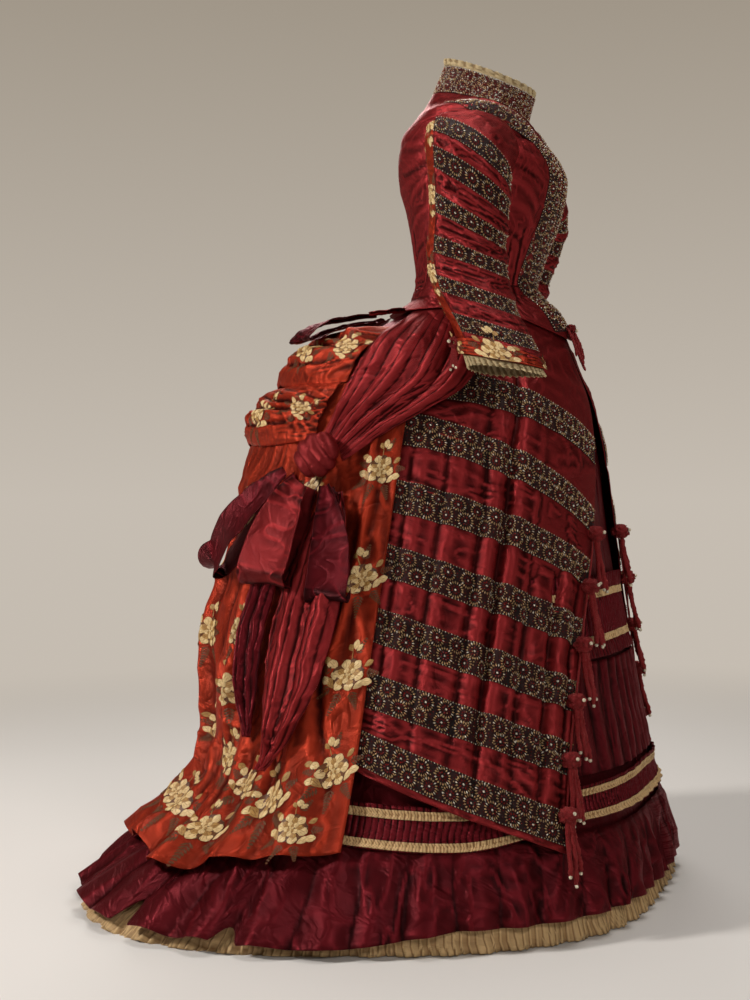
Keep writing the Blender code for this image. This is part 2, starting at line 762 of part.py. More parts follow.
LOWER_BAND = (
    BandRow(0.0, 0.165, 0.225),
    BandRow(45.0, 0.165, 0.214),
    BandRow(75.0, 0.138, 0.200),
    BandRow(100.0, 0.145, 0.206),
)
UPPER_BAND = (BandRow(0.0, 0.405, 0.537), BandRow(56.0, 0.400, 0.530))
BAND_SHARES = (0.0, 0.46, 0.54, 1.0)
BAND_STEPS = len(BAND_SHARES) - 1
BAND_WAVE_SHARE = 0.35
THIN_CLOTH = 0.002


class Shirring(NamedTuple):
    """A shirred band: its edges' heights, its gathers, and how far its edges and middle stand out."""

    name: str
    table: tuple
    waves: int
    flare: float
    seat: float


SHIRRINGS = (
    Shirring("lower_band", LOWER_BAND, 26, 0.0060, 0.0034),
    Shirring("upper_band", UPPER_BAND, 9, 0.0035, 0.0010),
)


def shirred_band(spec):
    """A strip gathered along its middle, whose two edges stand out in frills."""
    reach = spec.table[-1].angle

    def place(u, v):
        angle = reach * (2 * u - 1)
        low, high = read(spec.table, "low", abs(angle)), read(spec.table, "high", abs(angle))
        return angle, low + BAND_SHARES[round(v * BAND_STEPS)] * (high - low)

    def lift(angle, height, u, v):
        stand = spec.flare if round(v * BAND_STEPS) in (0, BAND_STEPS) else 0.0
        return spec.seat + stand * (1 + BAND_WAVE_SHARE * math.cos(2 * math.pi * spec.waves * u))

    columns = 2 * spec.waves
    cloth_wall(spec.name, BURGUNDY_TAFFETA, columns, BAND_STEPS, place, lift, thickness=THIN_CLOTH)


FRONT_PLEATS = 14
FRONT_PLEAT_DEPTH = 0.003
FRONT_PLEATS_LOW = 0.230
FRONT_PLEATS_HIGH = 0.398
FRONT_PLEATS_REACH = 53.0


def front_pleats():
    """The pleated drop between the two shirred bands, seen between the overskirt's front edges."""

    def lift(angle, height, u, v):
        return SEAT + FRONT_PLEAT_DEPTH * (1 + math.cos(2 * math.pi * FRONT_PLEATS * u))

    place = skirt_place(FRONT_PLEATS_LOW, FRONT_PLEATS_HIGH, -FRONT_PLEATS_REACH, FRONT_PLEATS_REACH)
    cloth_wall("front_pleats", BURGUNDY_TAFFETA, 2 * FRONT_PLEATS, 1, place, lift, thickness=THIN_CLOTH)


class PanelEdge(NamedTuple):
    """How far from the centre front an overskirt panel's front edge is at a height."""

    height: float
    angle: float


PANEL_FRONT = (
    PanelEdge(0.139, 50.0),
    PanelEdge(0.259, 46.0),
    PanelEdge(0.346, 41.7),
    PanelEdge(0.470, 33.0),
    PanelEdge(0.584, 21.7),
    PanelEdge(0.700, 12.0),
    PanelEdge(0.800, 5.0),
    PanelEdge(0.900, 1.0),
    PanelEdge(0.995, 0.3),
)
PANEL_BACK_ANGLE = 99.0
BAND_HEIGHT = 0.051
PANEL_HEM = 0.010
PANEL_SEAT = 0.0013
QUARTER_TURN = 90.0


class PanelBand(NamedTuple):
    """A beaded band's upper edge at the panel's back, and how it falls toward the front."""

    height: float
    slope: float
    bend: float


PANEL_BANDS = (
    PanelBand(0.870, 0.000, 0.110),
    PanelBand(0.794, 0.052, 0.134),
    PanelBand(0.688, 0.080, 0.100),
    PanelBand(0.590, 0.140, 0.050),
    PanelBand(0.492, 0.165, 0.040),
    PanelBand(0.398, 0.180, 0.040),
    PanelBand(0.314, 0.245, 0.000),
)
PANEL_PLAIN_HEIGHTS = (WAIST_HEIGHT, 0.972, 0.945, 0.905)


def panel_lift(height):
    """Distance from the form to the overskirt's wrong side, growing below the basque."""
    return PANEL_SEAT + 0.0090 * ease(0.925, 0.80, height) + 0.0085 * ease(0.60, 0.27, height)


def panel_rows():
    """The overskirt's rows from the waist down: the band line each follows, its drop and its rise."""
    rows = [(PanelBand(height, 0.0, 0.0), 0.0, 0.0) for height in PANEL_PLAIN_HEIGHTS]
    for band in PANEL_BANDS:
        rows += [
            (band, -BEAD_SHOULDER, 0.0),
            (band, BEAD_SHOULDER, BEAD_RISE),
            (band, BAND_HEIGHT - BEAD_SHOULDER, BEAD_RISE),
            (band, BAND_HEIGHT + BEAD_SHOULDER, 0.0),
        ]
    rows.append((PANEL_BANDS[-1], BAND_HEIGHT + PANEL_HEM, 0.0))
    return rows


def band_height(band, drop, angle):
    """Height of a line that runs drop below a band's upper edge."""
    forward = (PANEL_BACK_ANGLE - angle) / QUARTER_TURN
    return band.height - drop - band.slope * forward - band.bend * forward**2


def overskirt_panel(side):
    """A front of the overskirt, with seven double beaded bands raised across it."""
    columns = 7
    rows = panel_rows()

    def front_edge(band, drop):
        angle = 20.0
        for _ in range(12):
            angle = read(PANEL_FRONT, "angle", band_height(band, drop, angle))
        return angle

    edges = [front_edge(row[0], row[1]) for row in rows]

    def place(u, v):
        row = round(v * (len(rows) - 1))
        band, drop, _ = rows[row]
        angle = edges[row] + u * (PANEL_BACK_ANGLE - edges[row])
        return side * angle, band_height(band, drop, angle)

    def lift(angle, height, u, v):
        return panel_lift(height)

    def rise(u, v):
        return rows[round(v * (len(rows) - 1))][2]

    name = f"overskirt_{SIDE_NAMES[side]}"
    cloth_wall(name, CRIMSON_SATIN, columns, len(rows) - 1, place, lift, rise)


class TrainColumn(NamedTuple):
    """The train's lower and upper edges at an angle from the front."""

    angle: float
    low: float
    high: float


TRAIN = (
    TrainColumn(96.5, 0.132, 0.935),
    TrainColumn(108.0, 0.110, 0.935),
    TrainColumn(120.0, 0.088, 0.900),
    TrainColumn(130.0, 0.064, 0.850),
    TrainColumn(140.0, 0.078, 0.840),
    TrainColumn(160.0, 0.064, 0.840),
    TrainColumn(180.0, 0.060, 0.840),
)


class TrainFold(NamedTuple):
    """A long fold of the train: its angle, its half width in degrees, its depth and where it starts."""

    angle: float
    half_width: float
    depth: float
    top: float


TRAIN_FOLDS = (
    TrainFold(107.6, 5.6, 0.010, 0.45),
    TrainFold(118.8, 5.6, 0.018, 0.30),
    TrainFold(129.9, 5.6, 0.026, 0.50),
    TrainFold(144.0, 7.0, 0.020, 0.60),
    TrainFold(158.0, 7.0, 0.024, 0.70),
    TrainFold(180.0, 8.0, 0.030, 0.72),
)
TRAIN_ROWS = (0.0, 0.05, 0.12, 0.21, 0.33, 0.47, 0.61, 0.75, 0.88, 1.0)
TRAIN_COLUMNS = 30
TRAIN_SEAT = 0.0030


def train_lift(angle, height):
    """Distance from the form to the train's wrong side, with its long folds standing out."""
    turn = abs(angle) if abs(angle) <= 180 else 360 - abs(angle)
    lift = panel_lift(height) + CLOTH + BEAD_RISE + TRAIN_SEAT
    for fold in TRAIN_FOLDS:
        share = ease(fold.half_width, 0.0, abs(turn - fold.angle))
        lift += fold.depth * share * ease(fold.top, 0.08, height)
    return lift


def train():
    """The brocade train, from behind one panel round the back to the other."""
    start = TRAIN[0].angle

    def place(u, v):
        angle = start + u * (360 - 2 * start)
        turn = min(angle, 360 - angle)
        low, high = read(TRAIN, "low", turn), read(TRAIN, "high", turn)
        return angle, low + TRAIN_ROWS[round(v * (len(TRAIN_ROWS) - 1))] * (high - low)

    def lift(angle, height, u, v):
        return train_lift(angle, height)

    cloth_wall("train", ROSE_BROCADE, TRAIN_COLUMNS, len(TRAIN_ROWS) - 1, place, lift)


class Puff(NamedTuple):
    """A puff of the bustle: its edges' heights and lifts, its bulge, and how far round it goes."""

    name: str
    high: float
    high_lift: float
    low: float
    low_lift: float
    bulge: float
    start: float


PUFFS = (
    Puff("puff_upper", 0.948, 0.0011, 0.846, 0.0205, 0.027, 121.5),
    Puff("puff_lower", 0.838, 0.0218, 0.752, 0.0232, 0.024, 123.5),
)
PUFF_ROWS = (0.0, 0.14, 0.38, 0.62, 0.86, 1.0)
PUFF_COLUMNS = 12
PUFF_END_SHARE = 0.12
PUFF_FOLD_SHARE = 0.14


def puff(spec):
    """A puff of brocade over the bustle, gathered at its ends and along both edges."""

    def place(u, v):
        angle = spec.start + u * (360 - 2 * spec.start)
        return angle, spec.low + PUFF_ROWS[round(v * (len(PUFF_ROWS) - 1))] * (spec.high - spec.low)

    def lift(angle, height, u, v):
        share = PUFF_ROWS[round(v * (len(PUFF_ROWS) - 1))]
        seat = spec.low_lift + share * (spec.high_lift - spec.low_lift)
        ends = ease(0.0, PUFF_END_SHARE, u) * ease(1.0, 1 - PUFF_END_SHARE, u)
        folds = 1 + PUFF_FOLD_SHARE * math.cos(6 * math.pi * u + 5 * share)
        return seat + spec.bulge * math.sin(math.pi * share) ** 0.7 * (0.35 + 0.65 * ends) * folds

    cloth_wall(spec.name, ROSE_BROCADE, PUFF_COLUMNS, len(PUFF_ROWS) - 1, place, lift)


class SwagRow(NamedTuple):
    """A level of the swag from the waist to its knot: the places of its back and front edges."""

    along: float
    back_angle: float
    back_height: float
    front_angle: float
    front_height: float


SWAG = (
    SwagRow(0.0, 117.0, 0.9702, 62.0, 0.9702),
    SwagRow(0.2, 118.0, 0.925, 66.0, 0.885),
    SwagRow(0.4, 119.0, 0.875, 74.0, 0.831),
    SwagRow(0.6, 119.5, 0.835, 88.0, 0.794),
    SwagRow(0.8, 120.0, 0.795, 101.0, 0.759),
    SwagRow(1.0, 121.0, 0.752, 113.0, 0.712),
)
SWAG_FOLDS = 4
SWAG_FOLD_DEPTH = 0.005
SWAG_RISE = 0.0180
SWAG_ROWS = 8
SWAG_COLUMNS = 10
KNOT_LIFT = 0.0228


def swag(side):
    """The satin swag from under the basque round the hip to the knot, in folds that run together."""

    def place(u, v):
        back, front = read(SWAG, "back_angle", v), read(SWAG, "front_angle", v)
        high, low = read(SWAG, "back_height", v), read(SWAG, "front_height", v)
        return side * (front + u * (back - front)), low + u * (high - low)

    def lift(angle, height, u, v):
        fold = 0.5 - 0.5 * math.cos(2 * math.pi * SWAG_FOLDS * u)
        stand = BODICE_LIFT + SWAG_RISE * ease(0.0, 0.30, v) + 0.0012 * ease(0.8, 1.0, v)
        return stand + SWAG_FOLD_DEPTH * fold * ease(0.02, 0.4, v) * ease(1.0, 0.8, v)

    cloth_wall(f"swag_{SIDE_NAMES[side]}", CRIMSON_SATIN, SWAG_COLUMNS, SWAG_ROWS, place, lift)


KNOT_PLACE = (119.0, 0.716)
KNOT_HALF_SIZE = (0.038, 0.038, 0.024)
KNOT_FOLD_SHARE = 0.12
KNOT_FOLDS = 4


def knot(side):
    """The bow's knot, a soft ball with a few deep folds."""
    angle, height = KNOT_PLACE
    half_across, half_high, half_deep = KNOT_HALF_SIZE
    root = cloth_point(side * angle, height, KNOT_LIFT + half_deep)
    outward = (root - cloth_point(side * angle, height, 0.0)).normalized()
    across = Vector((0, 0, 1)).cross(outward).normalized()
    up = outward.cross(across)
    mesh = bmesh.new()
    bmesh.ops.create_uvsphere(mesh, u_segments=12, v_segments=7, radius=1.0)
    for vert in mesh.verts:
        turn = math.atan2(vert.co.y, vert.co.x)
        fold = 1 - KNOT_FOLD_SHARE * (0.5 + 0.5 * math.cos(KNOT_FOLDS * turn + 2.5 * vert.co.z))
        x, y, z = vert.co * fold
        vert.co = root + across * x * half_across + up * y * half_high + outward * z * half_deep
    add_piece(f"knot_{SIDE_NAMES[side]}", CRIMSON_SATIN, mesh)


class RibbonRow(NamedTuple):
    """A step along a ribbon: its middle's angle, height and lift, and the ribbon's width there."""

    along: float
    angle: float
    height: float
    lift: float
    width: float


class Ribbon(NamedTuple):
    """A ribbon of the bow or the sashes: its finish, its rows, its grid and the depth of its crease."""

    name: str
    finish: Finish
    rows: tuple
    steps: int
    columns: int
    crease: float


BOW_LOOP_FRONT = (
    RibbonRow(0.00, 120.0, 0.670, 0.0600, 0.038),
    RibbonRow(0.15, 122.0, 0.640, 0.0640, 0.066),
    RibbonRow(0.32, 123.5, 0.580, 0.0680, 0.098),
    RibbonRow(0.46, 124.0, 0.530, 0.0680, 0.104),
    RibbonRow(0.54, 124.2, 0.512, 0.0560, 0.104),
    RibbonRow(0.62, 124.0, 0.524, 0.0425, 0.098),
    RibbonRow(0.80, 122.5, 0.610, 0.0391, 0.066),
    RibbonRow(1.00, 120.5, 0.670, 0.0386, 0.034),
)
BOW_LOOP_SIDE = (
    RibbonRow(0.00, 114.3, 0.668, 0.0540, 0.018),
    RibbonRow(0.18, 111.5, 0.620, 0.0560, 0.046),
    RibbonRow(0.34, 109.0, 0.560, 0.0580, 0.066),
    RibbonRow(0.46, 108.0, 0.505, 0.0560, 0.070),
    RibbonRow(0.54, 108.0, 0.492, 0.0480, 0.070),
    RibbonRow(0.62, 108.0, 0.504, 0.0398, 0.066),
    RibbonRow(0.80, 111.0, 0.600, 0.0386, 0.044),
    RibbonRow(1.00, 114.3, 0.668, 0.0386, 0.018),
)
BOW_LOOP_BACK = (
    RibbonRow(0.00, 126.6, 0.690, 0.0500, 0.022),
    RibbonRow(0.16, 133.5, 0.650, 0.0560, 0.060),
    RibbonRow(0.34, 142.0, 0.590, 0.0640, 0.086),
    RibbonRow(0.46, 147.0, 0.545, 0.0640, 0.094),
    RibbonRow(0.54, 148.0, 0.533, 0.0540, 0.094),
    RibbonRow(0.62, 147.0, 0.545, 0.0380, 0.088),
    RibbonRow(0.80, 138.0, 0.625, 0.0276, 0.056),
    RibbonRow(1.00, 126.8, 0.690, 0.0254, 0.020),
)
WAIST_LOOP = (
    RibbonRow(0.00, 172.0, 0.962, 0.0250, 0.022),
    RibbonRow(0.18, 163.0, 0.941, 0.0395, 0.048),
    RibbonRow(0.36, 154.0, 0.914, 0.0575, 0.070),
    RibbonRow(0.46, 151.0, 0.896, 0.0625, 0.074),
    RibbonRow(0.54, 150.0, 0.887, 0.0595, 0.074),
    RibbonRow(0.62, 151.0, 0.894, 0.0500, 0.070),
    RibbonRow(0.82, 162.0, 0.937, 0.0282, 0.042),
    RibbonRow(1.00, 171.0, 0.960, 0.0132, 0.022),
)
WAIST_TIP = (
    RibbonRow(0.00, 126.0, 0.970, 0.0125, 0.026),
    RibbonRow(0.35, 129.0, 0.960, 0.0230, 0.040),
    RibbonRow(0.70, 131.0, 0.950, 0.0310, 0.032),
    RibbonRow(1.00, 132.0, 0.940, 0.0410, 0.006),
)
BOW_LOOPS = (
    Ribbon("bow_loop_front", CRIMSON_SATIN, BOW_LOOP_FRONT, 12, 3, 0.004),
    Ribbon("bow_loop_side", BURGUNDY_TAFFETA, BOW_LOOP_SIDE, 12, 3, 0.003),
    Ribbon("bow_loop_back", BURGUNDY_TAFFETA, BOW_LOOP_BACK, 12, 3, 0.003),
)
WAIST_RIBBONS = (
    Ribbon("waist_loop", BURGUNDY_TAFFETA, WAIST_LOOP, 12, 3, 0.002),
    Ribbon("waist_tip", CRIMSON_SATIN, WAIST_TIP, 5, 2, 0.003),
)


def ribbon_mesh(ribbon, side):
    """A closed wall along a ribbon's rows, creased along its middle."""

    def middle(along):
        angle, height = read(ribbon.rows, "angle", along), read(ribbon.rows, "height", along)
        return cloth_point(side * angle, height, read(ribbon.rows, "lift", along))

    def at(u, v, out):
        step = 0.01
        heading = (middle(min(v + step, 1.0)) - middle(max(v - step, 0.0))).normalized()
        angle, height = side * read(ribbon.rows, "angle", v), read(ribbon.rows, "height", v)
        aside = form_point(angle + 1, height) - form_point(angle - 1, height)
        aside = (aside - heading * aside.dot(heading)).normalized()
        face = heading.cross(aside)
        crease = ribbon.crease * math.cos(2 * math.pi * (u - 0.5))
        width = read(ribbon.rows, "width", v)
        return middle(v) + aside * (u - 0.5) * width + face * (crease + out)

    def outer(u, v):
        return at(u, v, CLOTH / 2)

    def inner(u, v):
        return at(u, v, -CLOTH / 2)

    return wall_mesh(ribbon.columns, ribbon.steps, outer, inner)


class TailRow(NamedTuple):
    """A level of a sash's hanging tail: its height, its middle's angle and half its width in degrees."""

    along: float
    height: float
    angle: float
    half_angle: float


SASH_TAIL = (
    TailRow(0.0, 0.664, 114.0, 3.0),
    TailRow(0.2, 0.575, 113.0, 6.5),
    TailRow(0.4, 0.480, 112.8, 7.8),
    TailRow(0.6, 0.390, 113.2, 7.2),
    TailRow(0.8, 0.290, 115.5, 4.2),
    TailRow(1.0, 0.228, 117.5, 1.2),
)
SASH_TAIL_BACK = (
    TailRow(0.0, 0.668, 123.5, 2.0),
    TailRow(0.3, 0.560, 125.5, 3.4),
    TailRow(0.6, 0.450, 126.5, 4.0),
    TailRow(0.85, 0.340, 125.5, 2.8),
    TailRow(1.0, 0.285, 124.5, 1.0),
)
TAIL_SEAT = {RIGHT: 0.0027, LEFT: 0.0036}
TAIL_FOLD_DEPTH = 0.004
TAIL_COLUMNS = 5
TAIL_STEPS = 7


def sash_tail(name, finish, rows, side):
    """A sash's tail, which hangs over the train and is caught together at its end."""

    def place(u, v):
        along = 1 - v
        angle, half = read(rows, "angle", along), read(rows, "half_angle", along)
        return side * (angle + half * (2 * u - 1)), read(rows, "height", along)

    def lift(angle, height, u, v):
        fold = TAIL_FOLD_DEPTH * (1 - math.cos(4 * math.pi * u)) * ease(0.0, 0.2, v)
        return train_lift(angle, height) + CLOTH + TAIL_SEAT[side] + fold

    cloth_wall(name, finish, TAIL_COLUMNS, TAIL_STEPS, place, lift)


FRONT_TASSEL_HEADS = (0.600, 0.515, 0.425, 0.340, 0.255, 0.175)
HEAD_HALF_HEIGHT = 0.006
STRIP_INSET_ANGLE = 0.6
STRIP_WIDTH_ANGLE = 2.6
STRIP_DEPTH = 0.004
STRIP_SEAT = 0.0009
STRAND_LENGTHS = (0.075, 0.058)
STRAND_RADIUS = 0.0028


def front_tassels(side):
    """The chenille heads down a panel's front edge, on one narrow strip, each with two strands."""
    edges = (-HEAD_HALF_HEIGHT, HEAD_HALF_HEIGHT)
    heights = [head + edge for head in reversed(FRONT_TASSEL_HEADS) for edge in edges]

    def over_panel(angle, height, out):
        lift = panel_lift(height) + CLOTH + BEAD_RISE + STRIP_SEAT + out
        return cloth_point(side * angle, height, lift)

    def strip_angle(u, height):
        return read(PANEL_FRONT, "angle", height) + STRIP_INSET_ANGLE + STRIP_WIDTH_ANGLE * u

    def at(u, v, out):
        step = v * (len(heights) - 1)
        row = min(int(step), len(heights) - 2)
        height = heights[row] + (step - row) * (heights[row + 1] - heights[row])
        return over_panel(strip_angle(u, height), height, out)

    def hang(strand, share, reach):
        height = FRONT_TASSEL_HEADS[-1 - int(strand.along * (len(heights) - 1)) // 2]
        angle = strip_angle(strand.across, height)
        return over_panel(angle, height - strand.length * share, STRIP_DEPTH + reach)

    strands = []
    for head in range(len(FRONT_TASSEL_HEADS)):
        along = (2 * head + 0.5) / (len(heights) - 1)
        for across, length in zip((0.25, 0.75), STRAND_LENGTHS):
            strands.append(Strand(across, along, length, 0.0, STRAND_RADIUS))
    name = f"front_tassels_{SIDE_NAMES[side]}"
    strand_group(name, 2, len(heights) - 1, at, STRIP_DEPTH, strands, hang)


BASQUE_TASSELS = (
    Strand(0.125, 0.5, 0.055, -0.004, 0.0030),
    Strand(0.375, 0.5, 0.070, -0.001, 0.0030),
    Strand(0.625, 0.5, 0.066, 0.001, 0.0030),
    Strand(0.875, 0.5, 0.052, 0.004, 0.0030),
)
BASQUE_PLATE_HALF_ANGLE = 9.0
BASQUE_PLATE_HEIGHTS = (0.936, 0.950)


def basque_tassels():
    """The chenille cords that hang from the basque's point."""
    low, high = BASQUE_PLATE_HEIGHTS

    def over_bodice(u, height, out):
        angle = BASQUE_PLATE_HALF_ANGLE * (2 * u - 1)
        lift = BODICE_LIFT + BASQUE_FRONT_LIFT + CLOTH + BEAD_RISE + SEAT + out
        return cloth_point(angle, height, lift)

    def at(u, v, out):
        return over_bodice(u, low + v * (high - low), out)

    def hang(strand, share, reach):
        height = low + strand.along * (high - low) - strand.length * share
        return over_bodice(strand.across, height, STRIP_DEPTH + reach)

    strand_group("basque_tassels", 4, 1, at, STRIP_DEPTH, BASQUE_TASSELS, hang)


def start_scene():
    """An empty scene with the dress's collection and the empty that its pieces stand on."""
    for existing in list(bpy.data.objects):
        bpy.data.objects.remove(existing, do_unlink=True)
    dress = bpy.data.collections.new("victorian_dress")
    bpy.context.scene.collection.children.link(dress)
    feet = bpy.data.objects.new("wearer_feet", None)
    feet.location = (0.0, 0.0, -SHOULDER_HEIGHT)
    dress.objects.link(feet)


def main():
    """Builds every piece of the dress."""
    start_scene()
    for side in (RIGHT, LEFT):
        bodice_front(side)
        bodice_side(side)
        bodice_back(side)
        upper_sleeve(side)
        under_sleeve(side)
        cuff(side)
        cuff_frill(side)
        cuff_tassel(side)
        overskirt_panel(side)
        swag(side)
        knot(side)
        front_tassels(side)
    collar()
    collar_frill()
    underskirt()
    flounce()
    hem_frill()
    for spec in SHIRRINGS:
        shirred_band(spec)
    front_pleats()
    train()
    for spec in PUFFS:
        puff(spec)
    for ribbon in BOW_LOOPS:
        add_piece(ribbon.name, ribbon.finish, ribbon_mesh(ribbon, RIGHT))
    for side in (RIGHT, LEFT):
        for ribbon in WAIST_RIBBONS:
            name = f"{ribbon.name}_{SIDE_NAMES[side]}"
            add_piece(name, ribbon.finish, ribbon_mesh(ribbon, side))
        sash_tail(f"sash_tail_{SIDE_NAMES[side]}", CRIMSON_SATIN, SASH_TAIL, side)
    sash_tail("sash_tail_back", BURGUNDY_TAFFETA, SASH_TAIL_BACK, RIGHT)
    basque_tassels()


main()
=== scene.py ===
"""Looks of a Victorian bustle dress: a satin bodice and overskirt with beaded bands, a ruched
burgundy underskirt, and a rose brocade train drawn up in puffs under sashes and a bow.

Metres, +Z up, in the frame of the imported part. The wearer faces -Y, the wearer's right side is
at -X, and a height above the floor is SHOULDER_HEIGHT more than z. Every cloth follows the same
form as its solid, at the same distance out from it, on a finer grid and with its creases.
"""

import logging
import math
from dataclasses import dataclass
from enum import Enum
from functools import partial
from typing import Callable, Iterable, NamedTuple

import bmesh
import bpy
import numpy as np
from bmesh.types import BMesh
from bpy.types import Material, Mesh, Node, NodeSocket, NodeTree, Object
from mathutils import Matrix, Vector


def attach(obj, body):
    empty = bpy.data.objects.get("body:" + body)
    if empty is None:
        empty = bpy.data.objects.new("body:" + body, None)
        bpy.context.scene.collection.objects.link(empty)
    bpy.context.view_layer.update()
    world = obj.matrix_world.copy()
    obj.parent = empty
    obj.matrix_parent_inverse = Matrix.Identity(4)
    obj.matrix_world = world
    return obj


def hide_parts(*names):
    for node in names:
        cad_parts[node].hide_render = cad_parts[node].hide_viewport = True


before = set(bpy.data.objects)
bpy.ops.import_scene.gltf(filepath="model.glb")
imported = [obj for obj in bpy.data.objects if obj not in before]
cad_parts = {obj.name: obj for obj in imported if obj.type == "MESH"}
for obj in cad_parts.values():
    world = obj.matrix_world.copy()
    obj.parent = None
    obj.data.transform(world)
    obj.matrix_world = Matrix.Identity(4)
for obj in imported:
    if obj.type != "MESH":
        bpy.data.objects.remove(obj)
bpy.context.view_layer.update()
LOG = logging.getLogger("victorian_dress")

Array = np.ndarray
Surface = Callable[[Array, Array, Array], Array]
Colour = tuple[float, float, float]
Pair = tuple[float, float]

SHOULDER_HEIGHT = 1.33
CLOTH = 0.0025
SHELL = 0.0014
SEAM = 0.0003
SEAT = 0.0007
BEAD_RISE = 0.003
NET_LIFT = 0.0009
WAIST_HEIGHT = 0.995
QUARTER = 45.0
NARROWEST_SHEET = 0.011
LEAST_AREA = 0.31
FOLD_SHADING = 0.006
LACE = 0.0007


class Side(Enum):
    """The wearer's right or left side."""

    RIGHT = 1
    LEFT = -1

    @property
    def label(self) -> str:
        """The side's word in a piece's name."""
        return self.name.lower()


class Held(Enum):
    """How a cloth is held on the dress."""

    DRAPED = "draped"
    HUNG = "hung"
    GATHERED = "gathered"
    FOLDED = "folded"
    STRETCHED = "stretched"


def hermite(s: Array, start: Array, leave: Array, end: Array, reach: Array) -> Array:
    """A cubic between two values, with its slope at each.

    Args:
        s: Shares of the way, from 0 to 1.
        start: Values at 0.
        leave: Slopes at 0.
        end: Values at 1.
        reach: Slopes at 1.

    Returns:
        The cubic's values.
    """
    return (
        (2 * s**3 - 3 * s**2 + 1) * start
        + (s**3 - 2 * s**2 + s) * leave
        + (3 * s**2 - 2 * s**3) * end
        + (s**3 - s**2) * reach
    )


def read(rows: tuple, column: str, at: Array) -> Array:
    """Values of a table's named column on a curve that never passes a neighbouring row.

    Args:
        rows: Named tuples whose first field is the key.
        column: The field to read.
        at: Keys to read it at.

    Returns:
        The values there.
    """
    keys = np.array([row[0] for row in rows])
    values = np.array([getattr(row, column) for row in rows])
    at = np.clip(at, keys[0], keys[-1])
    steep = np.diff(values) / np.diff(keys)
    before, after = steep[:-1], steep[1:]
    same = before * after > 0
    middle = np.where(same, 2 * before * after / np.where(same, before + after, 1.0), 0.0)
    slopes = np.concatenate([steep[:1], middle, steep[-1:]])
    row = np.clip(np.searchsorted(keys, at, side="right") - 1, 0, len(keys) - 2)
    span = keys[row + 1] - keys[row]
    s = (at - keys[row]) / span
    return hermite(s, values[row], slopes[row] * span, values[row + 1], slopes[row + 1] * span)


def ease(start: float, end: float, at: Array) -> Array:
    """A soft step from 0 at start to 1 at end."""
    s = np.clip((at - start) / (end - start), 0.0, 1.0)
    return s * s * (3 - 2 * s)


def plateau(start: float, full: float, fade: float, end: float, at: Array) -> Array:
    """A soft rise from start to full, and a soft fall from fade to end."""
    return ease(start, full, at) * ease(end, fade, at)


def unit(vectors: Array) -> Array:
    """The vectors at length 1."""
    return vectors / np.maximum(np.linalg.norm(vectors, axis=-1, keepdims=True), 1e-12)


def table(kind: type, *rows: tuple) -> tuple:
    """Rows of plain values as named tuples of one kind."""
    return tuple(kind(*row) for row in rows)


class FormRow(NamedTuple):
    """One level of the form: its height, how far back its middle is, and its reach at five angles."""

    height: float
    middle: float
    front: float
    front_quarter: float
    side: float
    back_quarter: float
    back: float


@dataclass(frozen=True)
class Form:
    """The outline of the lowest skirt and the bodice, which every cloth follows."""

    rows: tuple[FormRow, ...]

    def reach(self, angle: Array, height: Array) -> Array:
        """How far the form stands from its axis.

        Args:
            angle: Degrees from the front toward the wearer's right.
            height: Heights above the floor.

        Returns:
            The distances.
        """
        turn = np.abs(angle) % 360
        turn = np.where(turn > 180, 360 - turn, turn)
        reach = [read(self.rows, column, height) for column in FormRow._fields[2:]]
        around = np.stack([reach[1], *reach, reach[3]])
        corner = np.minimum(turn // QUARTER, 3).astype(int)
        s = turn / QUARTER - corner
        before, start, end, after = (
            np.take_along_axis(around, (corner + step)[None], 0)[0] for step in range(4)
        )
        return hermite(s, start, (end - before) / 2, end, (after - start) / 2)

    def point(self, angle: Array, height: Array) -> Array:
        """Points of the form itself."""
        reach, turn = self.reach(angle, height), np.radians(angle)
        middle = read(self.rows, "middle", height)
        return np.stack(
            [-reach * np.sin(turn), middle - reach * np.cos(turn), height - SHOULDER_HEIGHT], axis=-1
        )

    def cloth(self, angle: Array, height: Array, lift: Array | float) -> Array:
        """Points that stand out from the form, square to it.

        Args:
            angle: Degrees from the front.
            height: Heights above the floor.
            lift: Distances out from the form.

        Returns:
            The points, one a row.
        """
        angle, height, lift = np.broadcast_arrays(angle, height, lift)
        around = self.point(angle + 0.5, height) - self.point(angle - 0.5, height)
        up = self.point(angle, height + 0.003) - self.point(angle, height - 0.003)
        return self.point(angle, height) + unit(np.cross(up, around)) * lift[..., None]


